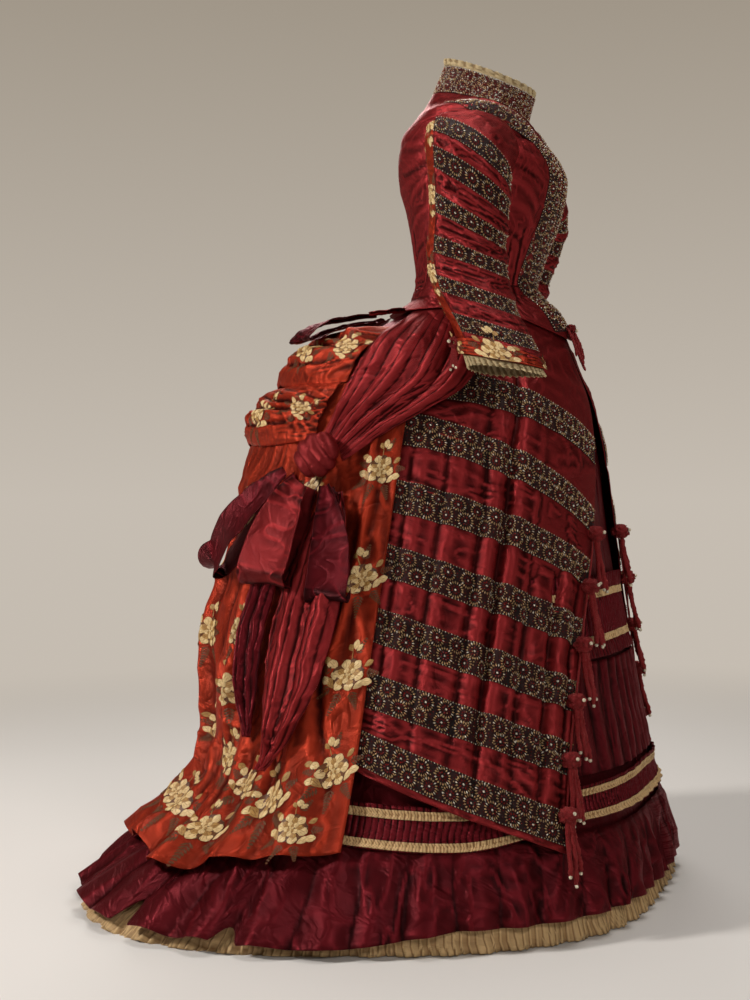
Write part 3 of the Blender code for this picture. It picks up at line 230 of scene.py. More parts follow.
FORM = Form(table(
    FormRow,
    (0.0, 0.0, 0.33, 0.395, 0.472, 0.65, 0.62), (0.06, 0.0, 0.324, 0.387, 0.456, 0.565, 0.57),
    (0.13, 0.0, 0.316, 0.37, 0.43, 0.47, 0.48), (0.2, 0.0, 0.302, 0.348, 0.402, 0.415, 0.425),
    (0.28, 0.0, 0.287, 0.328, 0.375, 0.398, 0.412), (0.4, 0.0, 0.265, 0.3, 0.345, 0.4, 0.428),
    (0.58, 0.0, 0.238, 0.262, 0.292, 0.365, 0.402), (0.74, 0.0, 0.222, 0.23, 0.245, 0.325, 0.378),
    (0.82, 0.0, 0.206, 0.208, 0.216, 0.283, 0.342), (0.88, 0.0, 0.187, 0.187, 0.19, 0.242, 0.3),
    (0.94, 0.0, 0.165, 0.16, 0.158, 0.174, 0.21), (0.97, -0.003, 0.148, 0.138, 0.134, 0.134, 0.146),
    (1.0, -0.008, 0.114, 0.109, 0.111, 0.104, 0.1), (1.03, -0.016, 0.092, 0.094, 0.101, 0.101, 0.102),
    (1.08, -0.022, 0.101, 0.105, 0.111, 0.111, 0.11), (1.15, -0.026, 0.123, 0.127, 0.128, 0.126, 0.125),
    (1.21, -0.028, 0.13, 0.14, 0.141, 0.141, 0.142), (1.24, -0.029, 0.117, 0.134, 0.152, 0.147, 0.143),
    (1.27, -0.03, 0.092, 0.118, 0.165, 0.147, 0.138), (1.3, -0.03, 0.073, 0.097, 0.158, 0.128, 0.126),
    (1.32, -0.028, 0.062, 0.076, 0.107, 0.105, 0.114), (1.34, -0.024, 0.05, 0.056, 0.064, 0.078, 0.097),
    (1.365, -0.019, 0.035, 0.04, 0.045, 0.06, 0.078),
))


class Crease(NamedTuple):
    """A soft trough or ridge: its two ends across and along a piece, its width, rise and bow."""

    across: float
    along: float
    to_across: float
    to_along: float
    width: float
    rise: float
    bow: float = 0.0


def creased(creases: Iterable[Crease], extent: Pair, u: Array, v: Array) -> Array:
    """How far a piece's creases raise it, or sink it where they are troughs.

    Args:
        creases: The creases.
        extent: The piece's width and length.
        u: Shares across the piece.
        v: Shares along it.

    Returns:
        The rise at each place.
    """
    rise = np.zeros_like(u)
    x, y = u * extent[0], v * extent[1]
    for crease in creases:
        start_x, start_y = crease.across * extent[0], crease.along * extent[1]
        run_x, run_y = crease.to_across * extent[0] - start_x, crease.to_along * extent[1] - start_y
        length = math.hypot(run_x, run_y)
        share = np.clip(((x - start_x) * run_x + (y - start_y) * run_y) / length**2, 0.0, 1.0)
        arch = np.sin(np.pi * share)
        off = ((x - start_x) * run_y - (y - start_y) * run_x) / length - crease.bow * arch
        rise += crease.rise * np.exp(-((off / crease.width) ** 2)) * np.sqrt(np.maximum(arch, 0.0))
    return rise


NOISE_CELLS = 64


def soft_noise(x: Array, y: Array, seed: int) -> Array:
    """Smooth uneven values between -1 and 1 on a lattice of unit steps.

    Args:
        x: Places across.
        y: Places along.
        seed: Which lattice to use.

    Returns:
        The values.
    """
    cells = np.random.default_rng(seed).uniform(-1, 1, (NOISE_CELLS, NOISE_CELLS))
    column, row = np.floor(x).astype(int), np.floor(y).astype(int)
    s, t = x - column, y - row
    s, t = s * s * (3 - 2 * s), t * t * (3 - 2 * t)
    corner = [
        cells[(row + down) % NOISE_CELLS, (column + right) % NOISE_CELLS]
        for down in (0, 1)
        for right in (0, 1)
    ]
    return (corner[0] * (1 - s) + corner[1] * s) * (1 - t) + (corner[2] * (1 - s) + corner[3] * s) * t


@dataclass(frozen=True)
class Crumple:
    """Drawn silk's small uneven ridges: their height, the cloth's size and their length each way."""

    depth: float
    extent: Pair
    grain: Pair
    seed: int
    bend: float = 0.7
    drift: float = 0.8
    finer: float = 2.1
    coarse_share: float = 0.65

    def rise(self, u: Array, v: Array, level: float = 0.0) -> Array:
        """How far the ridges raise the cloth.

        Args:
            u: Shares across the piece.
            v: Shares along it.
            level: The share of their height that counts as none.

        Returns:
            The rise at each place.
        """
        x, y = u * self.extent[0] / self.grain[0], v * self.extent[1] / self.grain[1]
        bend = soft_noise(x * self.bend, y * self.bend, self.seed + 2)
        coarse = 1 - np.abs(soft_noise(x + self.drift * bend, y + self.drift * bend, self.seed))
        fine = 1 - np.abs(soft_noise(self.finer * x + bend, self.finer * y - bend, self.seed + 1))
        return self.depth * (self.coarse_share * coarse**2 + (1 - self.coarse_share) * fine**2 - level)


def set_inputs(node: Node, inputs: dict) -> Node:
    """Links a node's inputs to sockets, or sets their values.

    Args:
        node: The node.
        inputs: Sockets, values or colours by the inputs' names or numbers.

    Returns:
        The node.
    """
    for key, value in inputs.items():
        if isinstance(value, NodeSocket):
            node.id_data.links.new(value, node.inputs[key])
        else:
            opaque = (*value, 1.0) if node.inputs[key].type == "RGBA" else value
            node.inputs[key].default_value = opaque
    return node


def add_node(tree: NodeTree, kind: str, inputs: dict, **settings: str) -> Node:
    """Adds a shader node.

    Args:
        tree: The nodes that it joins.
        kind: Its kind, such as TexNoise.
        inputs: What its inputs are linked or set to.
        settings: Its other settings.

    Returns:
        The node.
    """
    node = tree.nodes.new(f"ShaderNode{kind}")
    for setting, value in settings.items():
        setattr(node, setting, value)
    return set_inputs(node, inputs)


def add_math(operation: str, *inputs: NodeSocket | float) -> NodeSocket:
    """Adds a sum of sockets and values, the first of them a socket."""
    tree = inputs[0].id_data
    return add_node(tree, "Math", dict(enumerate(inputs)), operation=operation).outputs[0]


def add_noise(place: NodeSocket, scale: float, detail: float = 2.0, distortion: float = 0.0) -> NodeSocket:
    """Adds an uneven pattern over a map, with so many cells a metre."""
    inputs = {"Vector": place, "Scale": scale, "Detail": detail, "Distortion": distortion}
    return add_node(place.id_data, "TexNoise", inputs).outputs["Fac"]


def add_ramp(share: NodeSocket, *stops: tuple[float, Colour]) -> NodeSocket:
    """Adds a ramp between two colours, each with its place on it."""
    ramp = add_node(share.id_data, "ValToRGB", {"Fac": share})
    for element, (position, colour) in zip(ramp.color_ramp.elements, stops):
        element.position, element.color = position, (*colour, 1.0)
    return ramp.outputs["Color"]


def add_bump(height: NodeSocket, depth: float, **under: NodeSocket) -> NodeSocket:
    """Adds a bump of a depth in metres, over another's Normal if that is given."""
    inputs = {"Strength": 1.0, "Distance": depth, "Height": height, **under}
    return add_node(height.id_data, "Bump", inputs).outputs["Normal"]


class Painted:
    """A finish whose material is made once, under its name."""

    name: str

    def material(self) -> Material:
        """The finish's material."""
        found = bpy.data.materials.get(self.name)
        if found:
            return found
        material = bpy.data.materials.new(self.name)
        material.use_nodes = True
        self.paint(material.node_tree)
        return material

    def paint(self, tree: NodeTree) -> None:
        """Adds the finish's nodes to a new material's."""
        raise NotImplementedError


@dataclass(frozen=True)
class Finish(Painted):
    """A cloth's finish: its slot, its colours, gloss, weave and wrinkles."""

    slot: str
    colour: Colour
    # painted shade: the colour that creases and wrinkle troughs take
    shade: Colour
    roughness: float
    ribs: float
    rib_depth: float
    crumple_scale: float
    crumple_depth: float
    sheen: float = 0.0
    sheen_colour: Colour = (1.0, 1.0, 1.0)
    specular: float = 0.3
    anisotropy: float = 0.0
    gloss: Colour = (1.0, 1.0, 1.0)
    metallic: float = 0.0
    sheen_roughness: float = 0.35
    # how far the wrinkles darken the colour in their troughs, as painted shade
    wrinkle_shade_share: float = 0.16
    stops: Pair = (0.08, 0.85)
    bend: float = 0.7

    @property
    def name(self) -> str:
        """The material's name, which no slot has."""
        return f"{self.slot}_cloth"

    def paint(self, tree: NodeTree) -> None:
        """Adds the cloth's nodes: ribs and wrinkles as bump, and painted shade that darkens its colour in
        folds and wrinkle troughs and lightens it on ridges.
        """
        place = add_node(tree, "UVMap", {}, uv_map="cloth").outputs["UV"]
        fold = add_node(tree, "Attribute", {}, attribute_name="fold").outputs["Fac"]
        wrinkle = self._wrinkles(place)
        # painted light and shade: darker in creases and wrinkle troughs, lighter on ridges
        lightness = add_math("MULTIPLY_ADD", wrinkle, self.wrinkle_shade_share, fold)
        ribs = {"Vector": place, "Scale": self.ribs, "Distortion": 1.5, "Detail": 2.0}
        weave = add_node(tree, "TexWave", ribs, bands_direction="Y").outputs["Fac"]
        set_inputs(tree.nodes["Principled BSDF"], {
            "Base Color": add_ramp(lightness, (self.stops[0], self.shade), (self.stops[1], self.colour)),
            "Roughness": self.roughness,
            "Specular IOR Level": self.specular,
            "Specular Tint": self.gloss,
            "Sheen Weight": self.sheen,
            "Sheen Roughness": self.sheen_roughness,
            "Sheen Tint": self.sheen_colour,
            "Anisotropic": self.anisotropy,
            "Metallic": self.metallic,
            "Normal": add_bump(wrinkle, self.crumple_depth, Normal=add_bump(weave, self.rib_depth)),
        })

    def _wrinkles(self, place: NodeSocket) -> NodeSocket:
        """The small creases of crisp silk, broad and sharp ones.

        Args:
            place: The cloth's own map.

        Returns:
            Their height, from about 0 in a crease to 1 between creases.
        """
        broad = add_math("MULTIPLY", add_noise(place, self.crumple_scale * 0.5, 1.5, self.bend), 1.2)
        off = add_math("SUBTRACT", add_noise(place, self.crumple_scale, 2.0, self.bend), 0.5)
        away = add_math("MULTIPLY", add_math("ABSOLUTE", off), 3.0)
        return add_math("ADD", broad, add_math("MULTIPLY", add_math("MINIMUM", away, 0.5), 0.5))


@dataclass(frozen=True)
class BeadFinish(Painted):
    """A bead's glass or metal, its colour uneven from bead to bead."""

    name: str
    colour: Colour
    roughness: float
    metallic: float
    coat: float = 0.0
    darkest: float = 0.45
    cells: float = 260.0

    def paint(self, tree: NodeTree) -> None:
        """Adds the bead's nodes."""
        place = add_node(tree, "TexCoord", {}).outputs["Object"]
        dark = tuple(self.darkest * value for value in self.colour)
        set_inputs(tree.nodes["Principled BSDF"], {
            "Base Color": add_ramp(add_noise(place, self.cells), (0.35, dark), (0.65, self.colour)),
            "Roughness": self.roughness,
            "Metallic": self.metallic,
            "Coat Weight": self.coat,
        })


# Each cloth's second colour is painted shade for its creases and wrinkle troughs; its first shows full on
# ridges as painted highlight.
CRIMSON_SATIN = Finish(
    "crimson_satin", (0.255, 0.019, 0.021), (0.02, 0.0006, 0.0008), 0.37, 700.0, 0.00008, 20.0, 0.0046,
    sheen_colour=(1.0, 0.36, 0.34), specular=0.35, anisotropy=0.3, gloss=(1.0, 0.4, 0.38), metallic=0.6,
)
ROSE_BROCADE = Finish(
    "rose_brocade", (0.38, 0.033, 0.013), (0.03, 0.001, 0.0004), 0.38, 650.0, 0.0001, 22.0, 0.0064,
    sheen_colour=(1.0, 0.4, 0.25), specular=0.35, anisotropy=0.2, gloss=(1.0, 0.42, 0.28), metallic=0.55,
)
BURGUNDY_TAFFETA = Finish(
    "burgundy_taffeta", (0.125, 0.0068, 0.011), (0.008, 0.0003, 0.0004), 0.34, 500.0, 0.00012, 22.0,
    0.0048, sheen_colour=(1.0, 0.36, 0.4), specular=0.35, anisotropy=0.2, gloss=(1.0, 0.4, 0.44),
    metallic=0.6,
)
CREAM_SILK = Finish(
    "cream_silk", (0.66, 0.44, 0.21), (0.26, 0.13, 0.045), 0.5, 600.0, 0.0001, 34.0, 0.0018,
    0.12, (1.0, 0.9, 0.7),
)
CREAM_LACE = Finish(
    "cream_lace", (0.72, 0.56, 0.31), (0.3, 0.19, 0.08), 0.8, 260.0, 0.0006, 300.0, 0.0008,
    0.1, (1.0, 0.9, 0.7),
)
BEADED_NET = Finish(
    "beaded_net", (0.026, 0.0018, 0.0018), (0.006, 0.0005, 0.0005), 0.6, 420.0, 0.0004, 420.0, 0.0005,
    sheen_colour=(0.8, 0.5, 0.3),
)
CHENILLE = Finish(
    "chenille", (0.36, 0.012, 0.014), (0.03, 0.001, 0.002), 0.75, 300.0, 0.0005, 700.0, 0.001,
    0.5, (1.0, 0.22, 0.2),
)
GARNET = BeadFinish("garnet_bead", (0.24, 0.008, 0.006), 0.18, 0.0, 0.6)
BRONZE = BeadFinish("bronze_bead", (0.56, 0.36, 0.16), 0.28, 0.1)
CRYSTAL = BeadFinish("crystal_bead", (0.92, 0.86, 0.72), 0.14, 0.0, 0.9)
PEARL = BeadFinish("cream_bead", (0.85, 0.74, 0.54), 0.28, 0.0, 0.5)


@dataclass(frozen=True)
class Thread(Painted):
    """The silk that a brocade's flowers are woven in, in fine streaks along each petal."""

    name: str
    colour: Colour
    shade: Colour
    stretch: tuple[float, float, float] = (9.0, 1.6, 1.0)
    streak_scale: float = 1.6
    relief: float = 0.0005

    def paint(self, tree: NodeTree) -> None:
        """Adds the thread's nodes."""
        place = add_node(tree, "UVMap", {}, uv_map="cloth").outputs["UV"]
        along = add_node(tree, "Mapping", {"Vector": place, "Scale": self.stretch}).outputs["Vector"]
        streaks = add_noise(along, self.streak_scale, 3.0)
        set_inputs(tree.nodes["Principled BSDF"], {
            "Base Color": add_ramp(streaks, (0.34, self.shade), (0.58, self.colour)),
            "Roughness": 0.45,
            "Specular IOR Level": 0.3,
            "Normal": add_bump(streaks, self.relief),
        })


CREAM_THREAD = Thread("cream_thread", (0.8, 0.6, 0.3), (0.42, 0.23, 0.08))
GOLD_THREAD = Thread("gold_thread", (0.48, 0.27, 0.08), (0.15, 0.055, 0.012))
BROWN_THREAD = Thread("brown_thread", (0.15, 0.05, 0.012), (0.045, 0.009, 0.003))


class Cut(NamedTuple):
    """A cloth piece's grid, and whether it runs all round."""

    columns: int
    rows: int
    ring: bool = False
    thickness: float = SHELL


def run_lengths(grid: Array, axis: int) -> Array:
    """Distances along a grid's rows or columns, from their start.

    Args:
        grid: Points, rows by columns.
        axis: 0 for along the columns and 1 for along the rows.

    Returns:
        The distance at each point.
    """
    steps = np.linalg.norm(np.diff(grid, axis=axis), axis=2)
    start = np.zeros_like(np.take(steps, [0], axis=axis))
    return np.concatenate([start, np.cumsum(steps, axis=axis)], axis=axis)


def fold_shade(grid: Array, outward: Array) -> Array:
    """How far each point is on a ridge, 1, or in a valley, 0, which sets the painted shade in valleys and
    the painted highlight on ridges.

    Args:
        grid: Points, rows by columns.
        outward: The cloth's unit normals there.

    Returns:
        The shares.
    """
    bend = np.zeros(grid.shape[:2])
    for axis in (0, 1):
        ends = [(1, 1) if each == axis else (0, 0) for each in (0, 1, 2)]
        padded = np.pad(grid, ends, mode="edge")
        ahead, behind = np.roll(padded, -1, axis), np.roll(padded, 1, axis)
        keep = tuple(slice(1, -1) if each == axis else slice(None) for each in (0, 1, 2))
        second = (ahead + behind - 2 * padded)[keep]
        step = np.linalg.norm((ahead - behind)[keep], axis=2) / 2
        curve = (second * outward).sum(2) / np.maximum(step, 1e-4) ** 2
        edge = [slice(None), slice(None)]
        for end in (0, -1):
            edge[axis] = end
            curve[tuple(edge)] = 0.0
        bend += curve
    return np.clip(0.5 - FOLD_SHADING * bend, 0.0, 1.0)


def grid_normals(grid: Array) -> Array:
    """The unit normals of a grid of points, across its rows and then along its columns."""
    return unit(np.cross(np.gradient(grid, axis=1), np.gradient(grid, axis=0)))


def hand_over(piece: Object, nodes: Iterable[str] = ()) -> Object:
    """Puts a finished piece on the dress.

    Args:
        piece: The piece, at the origin.
        nodes: The solids that it stands for.

    Returns:
        The piece.
    """
    bpy.context.scene.collection.objects.link(piece)
    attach(piece, "root")
    if nodes:
        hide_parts(*nodes)
    LOG.info("%s: %d faces", piece.name, len(piece.data.polygons))
    return piece


def vertices(mesh: Mesh) -> Array:
    """A mesh's points, one a row."""
    flat = np.empty(len(mesh.vertices) * 3, np.float32)
    mesh.vertices.foreach_get("co", flat)
    return flat.reshape(-1, 3).astype(float)


def as_mesh(name: str, shape: BMesh) -> Mesh:
    """Turns a finished shape into a mesh."""
    mesh = bpy.data.meshes.new(name)
    shape.to_mesh(mesh)
    shape.free()
    return mesh


def grid_mesh(name: str, cut: Cut) -> tuple[Mesh, Array, Array]:
    """A flat grid with a map, and each vertex's share across and along it.

    Args:
        name: The mesh's name.
        cut: How many columns and rows it has.

    Returns:
        The mesh, and its vertices' shares across and along.
    """
    shape = bmesh.new()
    shape.loops.layers.uv.new("cloth")
    bmesh.ops.create_grid(shape, x_segments=cut.columns, y_segments=cut.rows, size=0.5, calc_uvs=True)
    mesh = as_mesh(name, shape)
    across, along = np.clip(vertices(mesh)[:, :2] + 0.5, 0.0, 1.0).T
    return mesh, across, along


def bent_mesh(name: str, cut: Cut, surface: Surface) -> tuple[Mesh, Array, Array]:
    """A grid bent to a surface, with its map in metres.

    Args:
        name: The mesh's name.
        cut: How many columns and rows it has.
        surface: Gives its points.

    Returns:
        The mesh, its points by row and column, and the number of each one's vertex.
    """
    mesh, u, v = grid_mesh(name, cut)
    points = surface(u, v, np.zeros_like(u))
    order = np.lexsort((u, v))
    grid = points[order].reshape(cut.rows + 1, cut.columns + 1, 3)
    mapped = np.empty((len(u), 2))
    mapped[order, 0], mapped[order, 1] = run_lengths(grid, 1).ravel(), run_lengths(grid, 0).ravel()
    mesh.vertices.foreach_set("co", points.astype(np.float32).ravel())
    corners = np.empty(len(mesh.loops), np.int32)
    mesh.loops.foreach_get("vertex_index", corners)
    mesh.uv_layers["cloth"].data.foreach_set("uv", mapped[corners].astype(np.float32).ravel())
    return mesh, grid, order


def shade_folds(mesh: Mesh, order: Array, fold: Array) -> None:
    """Stores each vertex's painted light and shade for its place on a fold: dark in valleys, light on
    ridges.

    Args:
        mesh: The mesh.
        order: The number of each grid point's vertex.
        fold: The shares, by row and column.
    """
    values = np.empty(len(order), np.float32)
    values[order] = fold.ravel()
    # the fold attribute is the painted light and shade that the finishes' colour ramps read
    mesh.attributes.new("fold", "FLOAT", "POINT").data.foreach_set("value", values)


def weld(mesh: Mesh) -> None:
    """Closes a mesh where its edges meet."""
    shape = bmesh.new()
    shape.from_mesh(mesh)
    bmesh.ops.remove_doubles(shape, verts=shape.verts[:], dist=1e-5)
    shape.to_mesh(mesh)
    shape.free()


def faces_in(surface: Surface) -> bool:
    """Whether a surface's grid has its faces turned in, at its middle."""
    middle, step = np.array([0.5]), 1e-3
    here = surface(middle, middle, np.zeros(1))
    across = surface(middle + step, middle, np.zeros(1)) - here
    along = surface(middle, middle + step, np.zeros(1)) - here
    outward = surface(middle, middle, np.full(1, step)) - here
    return bool((np.cross(across, along) * outward).sum() < 0)


def cloth_piece(
    name: str,
    finish: Finish,
    cut: Cut,
    surface: Surface,
    nodes: Iterable[str] = (),
) -> Object:
    """A thin closed cloth bent to a surface, with its map in metres and its folds shaded.

    Args:
        name: The piece's name.
        finish: Its cloth.
        cut: Its grid.
        surface: Gives its outer points.
        nodes: The solids that it stands for.

    Returns:
        The piece.
    """
    mesh, grid, order = bent_mesh(name, cut, surface)
    inward = faces_in(surface)
    shade_folds(mesh, order, fold_shade(grid, grid_normals(grid) * (-1 if inward else 1)))
    if inward:
        mesh.flip_normals()
    if cut.ring:
        weld(mesh)
    mesh.shade_smooth()
    mesh.materials.append(finish.material())
    piece = bpy.data.objects.new(name, mesh)
    shell = piece.modifiers.new("thickness", "SOLIDIFY")
    shell.thickness = cut.thickness
    shell.offset = -1.0
    hand_over(piece, nodes)
    flat = (float(run_lengths(grid, 1)[:, -1].max()), float(run_lengths(grid, 0)[-1].max()))
    if min(flat) < NARROWEST_SHEET:
        return piece
    diagonals = grid[1:, 1:] - grid[:-1, :-1], grid[1:, :-1] - grid[:-1, 1:]
    area = float(np.linalg.norm(np.cross(*diagonals), axis=2).sum() / 2)
    area = min(max(area, LEAST_AREA * flat[0] * flat[1]), flat[0] * flat[1])
    return piece


class Place(NamedTuple):
    """Where a motif is laid: its middle across and along a cloth, its turn and its size."""

    across: float
    along: float
    turn: float = 0.0
    size: float = 1.0


def laid_mesh(motif: Mesh, surface: Surface, places: Iterable[Place]) -> Mesh:
    """A mesh of one motif laid many times on a cloth, bent to it.

    Args:
        motif: The motif, flat, with its height as z.
        surface: Gives the cloth's points, and points out from it.
        places: Where to lay it.

    Returns:
        The mesh.
    """
    flat = vertices(motif)
    across, along, turn, size = (np.array(column)[:, None] for column in zip(*places))
    step = 1e-3
    middle_u, middle_v, none = across[:, 0], along[:, 0], np.zeros(len(places))
    here = surface(middle_u, middle_v, none)
    per_u = np.linalg.norm(surface(middle_u + step, middle_v, none) - here, axis=1)[:, None] / step
    per_v = np.linalg.norm(surface(middle_u, middle_v + step, none) - here, axis=1)[:, None] / step
    cosine, sine = np.cos(np.radians(turn)), np.sin(np.radians(turn))
    x = size * (flat[:, 0] * cosine - flat[:, 1] * sine)
    y = size * (flat[:, 0] * sine + flat[:, 1] * cosine)
    height = size * np.broadcast_to(flat[:, 2], x.shape)
    points = surface((across + x / per_u).ravel(), (along + y / per_v).ravel(), height.ravel())
    shape = bmesh.new()
    for _ in places:
        shape.from_mesh(motif)
    mesh = as_mesh("laid", shape)
    mesh.vertices.foreach_set("co", points.astype(np.float32).ravel())
    if faces_in(surface):
        mesh.flip_normals()
    return mesh


def joined_piece(
    name: str, meshes: list[Mesh], finishes: Iterable, nodes: Iterable[str] = ()
) -> Object:
    """One piece made of several meshes.

    Args:
        name: The piece's name.
        meshes: The meshes, whose faces' materials count the finishes.
        finishes: The finishes in that order.
        nodes: The solids that it stands for.

    Returns:
        The piece.
    """
    shape = bmesh.new()
    for part in meshes:
        shape.from_mesh(part)
    mesh = as_mesh(name, shape)
    for part in meshes:
        bpy.data.meshes.remove(part)
    mesh.shade_smooth()
    for finish in finishes:
        mesh.materials.append(finish.material())
    return hand_over(bpy.data.objects.new(name, mesh), nodes)


def evenly(surface: Surface, along: float, pitch: float, shift: float = 0.0) -> Array:
    """Shares across a surface that lie a pitch apart, measured on the cloth.

    Args:
        surface: The cloth.
        along: The share along it to measure at.
        pitch: The distance from one to the next.
        shift: How far the first is moved on, in pitches.

    Returns:
        The shares.
    """
    u = np.linspace(0.0, 1.0, 200)
    points = surface(u, np.full_like(u, along), np.zeros_like(u))
    run = np.concatenate([[0.0], np.cumsum(np.linalg.norm(np.diff(points, axis=0), axis=1))])
    count = max(int(run[-1] / pitch), 1)
    at = (np.arange(count) + 0.5 + shift) * run[-1] / count
    return np.interp(at[at < run[-1] - pitch / 3], run, u)


@dataclass(frozen=True)
class Beadwork:
    """Rosettes of bugle beads with seed beads between and along the band's edges."""

    pitch: float = 0.0325
    close_pitch: float = 0.029
    bugles: int = 18
    bugle_start: float = 0.0088
    bugle_end: float = 0.0142
    bugle_width: float = 0.00135
    inner_bugles: int = 8
    inner_start: float = 0.0034
    inner_end: float = 0.0078
    centre_size: float = 0.0022
    seed_size: float = 0.00125
    seed_pitch: float = 0.005
    fill_pitch: float = 0.0052
    fill_span: Pair = (0.09, 0.91)
    fill_sway: float = 0.02
    edges: Pair = (0.02, 0.98)
    rosette_turn: float = 17.0
    height: float = 0.0013

    def bead(self, shape: BMesh, place: Matrix, finish: int) -> None:
        """Adds one faceted bead.

        Args:
            shape: The motif.
            place: Where it goes and how it is stretched.
            finish: The number of its finish.
        """
        made = bmesh.ops.create_uvsphere(shape, u_segments=4, v_segments=2, radius=1.0, matrix=place)
        for face in {face for vert in made["verts"] for face in vert.link_faces}:
            face.material_index = finish

    def spokes(self, shape: BMesh, count: int, start: float, end: float, finishes: tuple[int, ...]) -> None:
        """Adds a ring of bugle beads that point outward.

        Args:
            shape: The motif.
            count: How many there are.
            start: The distance of their inner ends from the middle.
            end: The distance of their outer ends.
            finishes: The numbers of their finishes, in turn.
        """
        half, middle = (end - start) / 2, (end + start) / 2
        stretch = Matrix.Diagonal((half, self.bugle_width, self.bugle_width, 1.0))
        for index in range(count):
            turn = Matrix.Rotation(2 * math.pi * index / count, 4, "Z")
            place = Matrix.Translation((middle, 0, self.height))
            self.bead(shape, turn @ place @ stretch, finishes[index % len(finishes)])

    def rosette(self) -> Mesh:
        """The rosette motif: a centre bead, dark spokes and a ring of bright bugles."""
        shape = bmesh.new()
        centre = Matrix.Translation((0, 0, self.height)) @ Matrix.Scale(self.centre_size, 4)
        self.bead(shape, centre, 2)
        self.spokes(shape, self.inner_bugles, self.inner_start, self.inner_end, (0,))
        self.spokes(shape, self.bugles, self.bugle_start, self.bugle_end, (1, 1, 2, 1))
        return as_mesh("rosette", shape)

    def seed(self, finish: int) -> Mesh:
        """One seed bead as a motif."""
        shape = bmesh.new()
        place = Matrix.Translation((0, 0, self.seed_size)) @ Matrix.Scale(self.seed_size, 4)
        self.bead(shape, place, finish)
        return as_mesh("seed", shape)

    def on_band(self, surface: Surface, rows: tuple[float, ...]) -> list[Mesh]:
        """The beads of one band.

        Args:
            surface: The band's net, across its length and along its width.
            rows: Where the rows of rosettes run, as shares of its width.

        Returns:
            Meshes of rosettes and of seed beads.
        """
        rosettes, borders, fillers = [], [], []
        pitch = self.pitch if len(rows) > 1 else self.close_pitch
        for number, row in enumerate(rows):
            at = evenly(surface, row, pitch, 0.5 * number)
            rosettes += [Place(float(u), row, self.rosette_turn * index) for index, u in enumerate(at)]
        for line in np.linspace(*self.fill_span, 4 * len(rows) + 1):
            for index, u in enumerate(evenly(surface, float(line), self.fill_pitch)):
                fillers.append(Place(float(u), float(line) + self.fill_sway * math.sin(5.0 * index)))
        for edge in self.edges:
            borders += [Place(float(u), edge) for u in evenly(surface, edge, self.seed_pitch)]
        return [
            laid_mesh(self.rosette(), surface, rosettes),
            laid_mesh(self.seed(1), surface, borders[0::2]),
            laid_mesh(self.seed(2), surface, borders[1::2]),
            laid_mesh(self.seed(0), surface, fillers[0::2]),
            laid_mesh(self.seed(1), surface, fillers[1::6]),
        ]


BEADWORK = Beadwork()
BEAD_FINISHES = (GARNET, BRONZE, CRYSTAL)
TWO_ROWS = (0.29, 0.71)
ONE_ROW = (0.5,)
NET_ROWS = 8
NET_THICKNESS = 0.0006


def beaded_bands(
    label: str, bands: list[Surface], rows: tuple[float, ...], columns: int
) -> None:
    """Net bands and their beads.

    Args:
        label: What the bands' names start with.
        bands: Each band's surface.
        rows: Where its rosettes run.
        columns: How fine a net is across its length.
    """
    beads = []
    for number, band in enumerate(bands, 1):
        cut = Cut(columns, NET_ROWS, thickness=NET_THICKNESS)
        cloth_piece(f"{label}_net_{number}", BEADED_NET, cut, band)
        beads += BEADWORK.on_band(band, rows)
    joined_piece(f"{label}_beads", beads, BEAD_FINISHES)


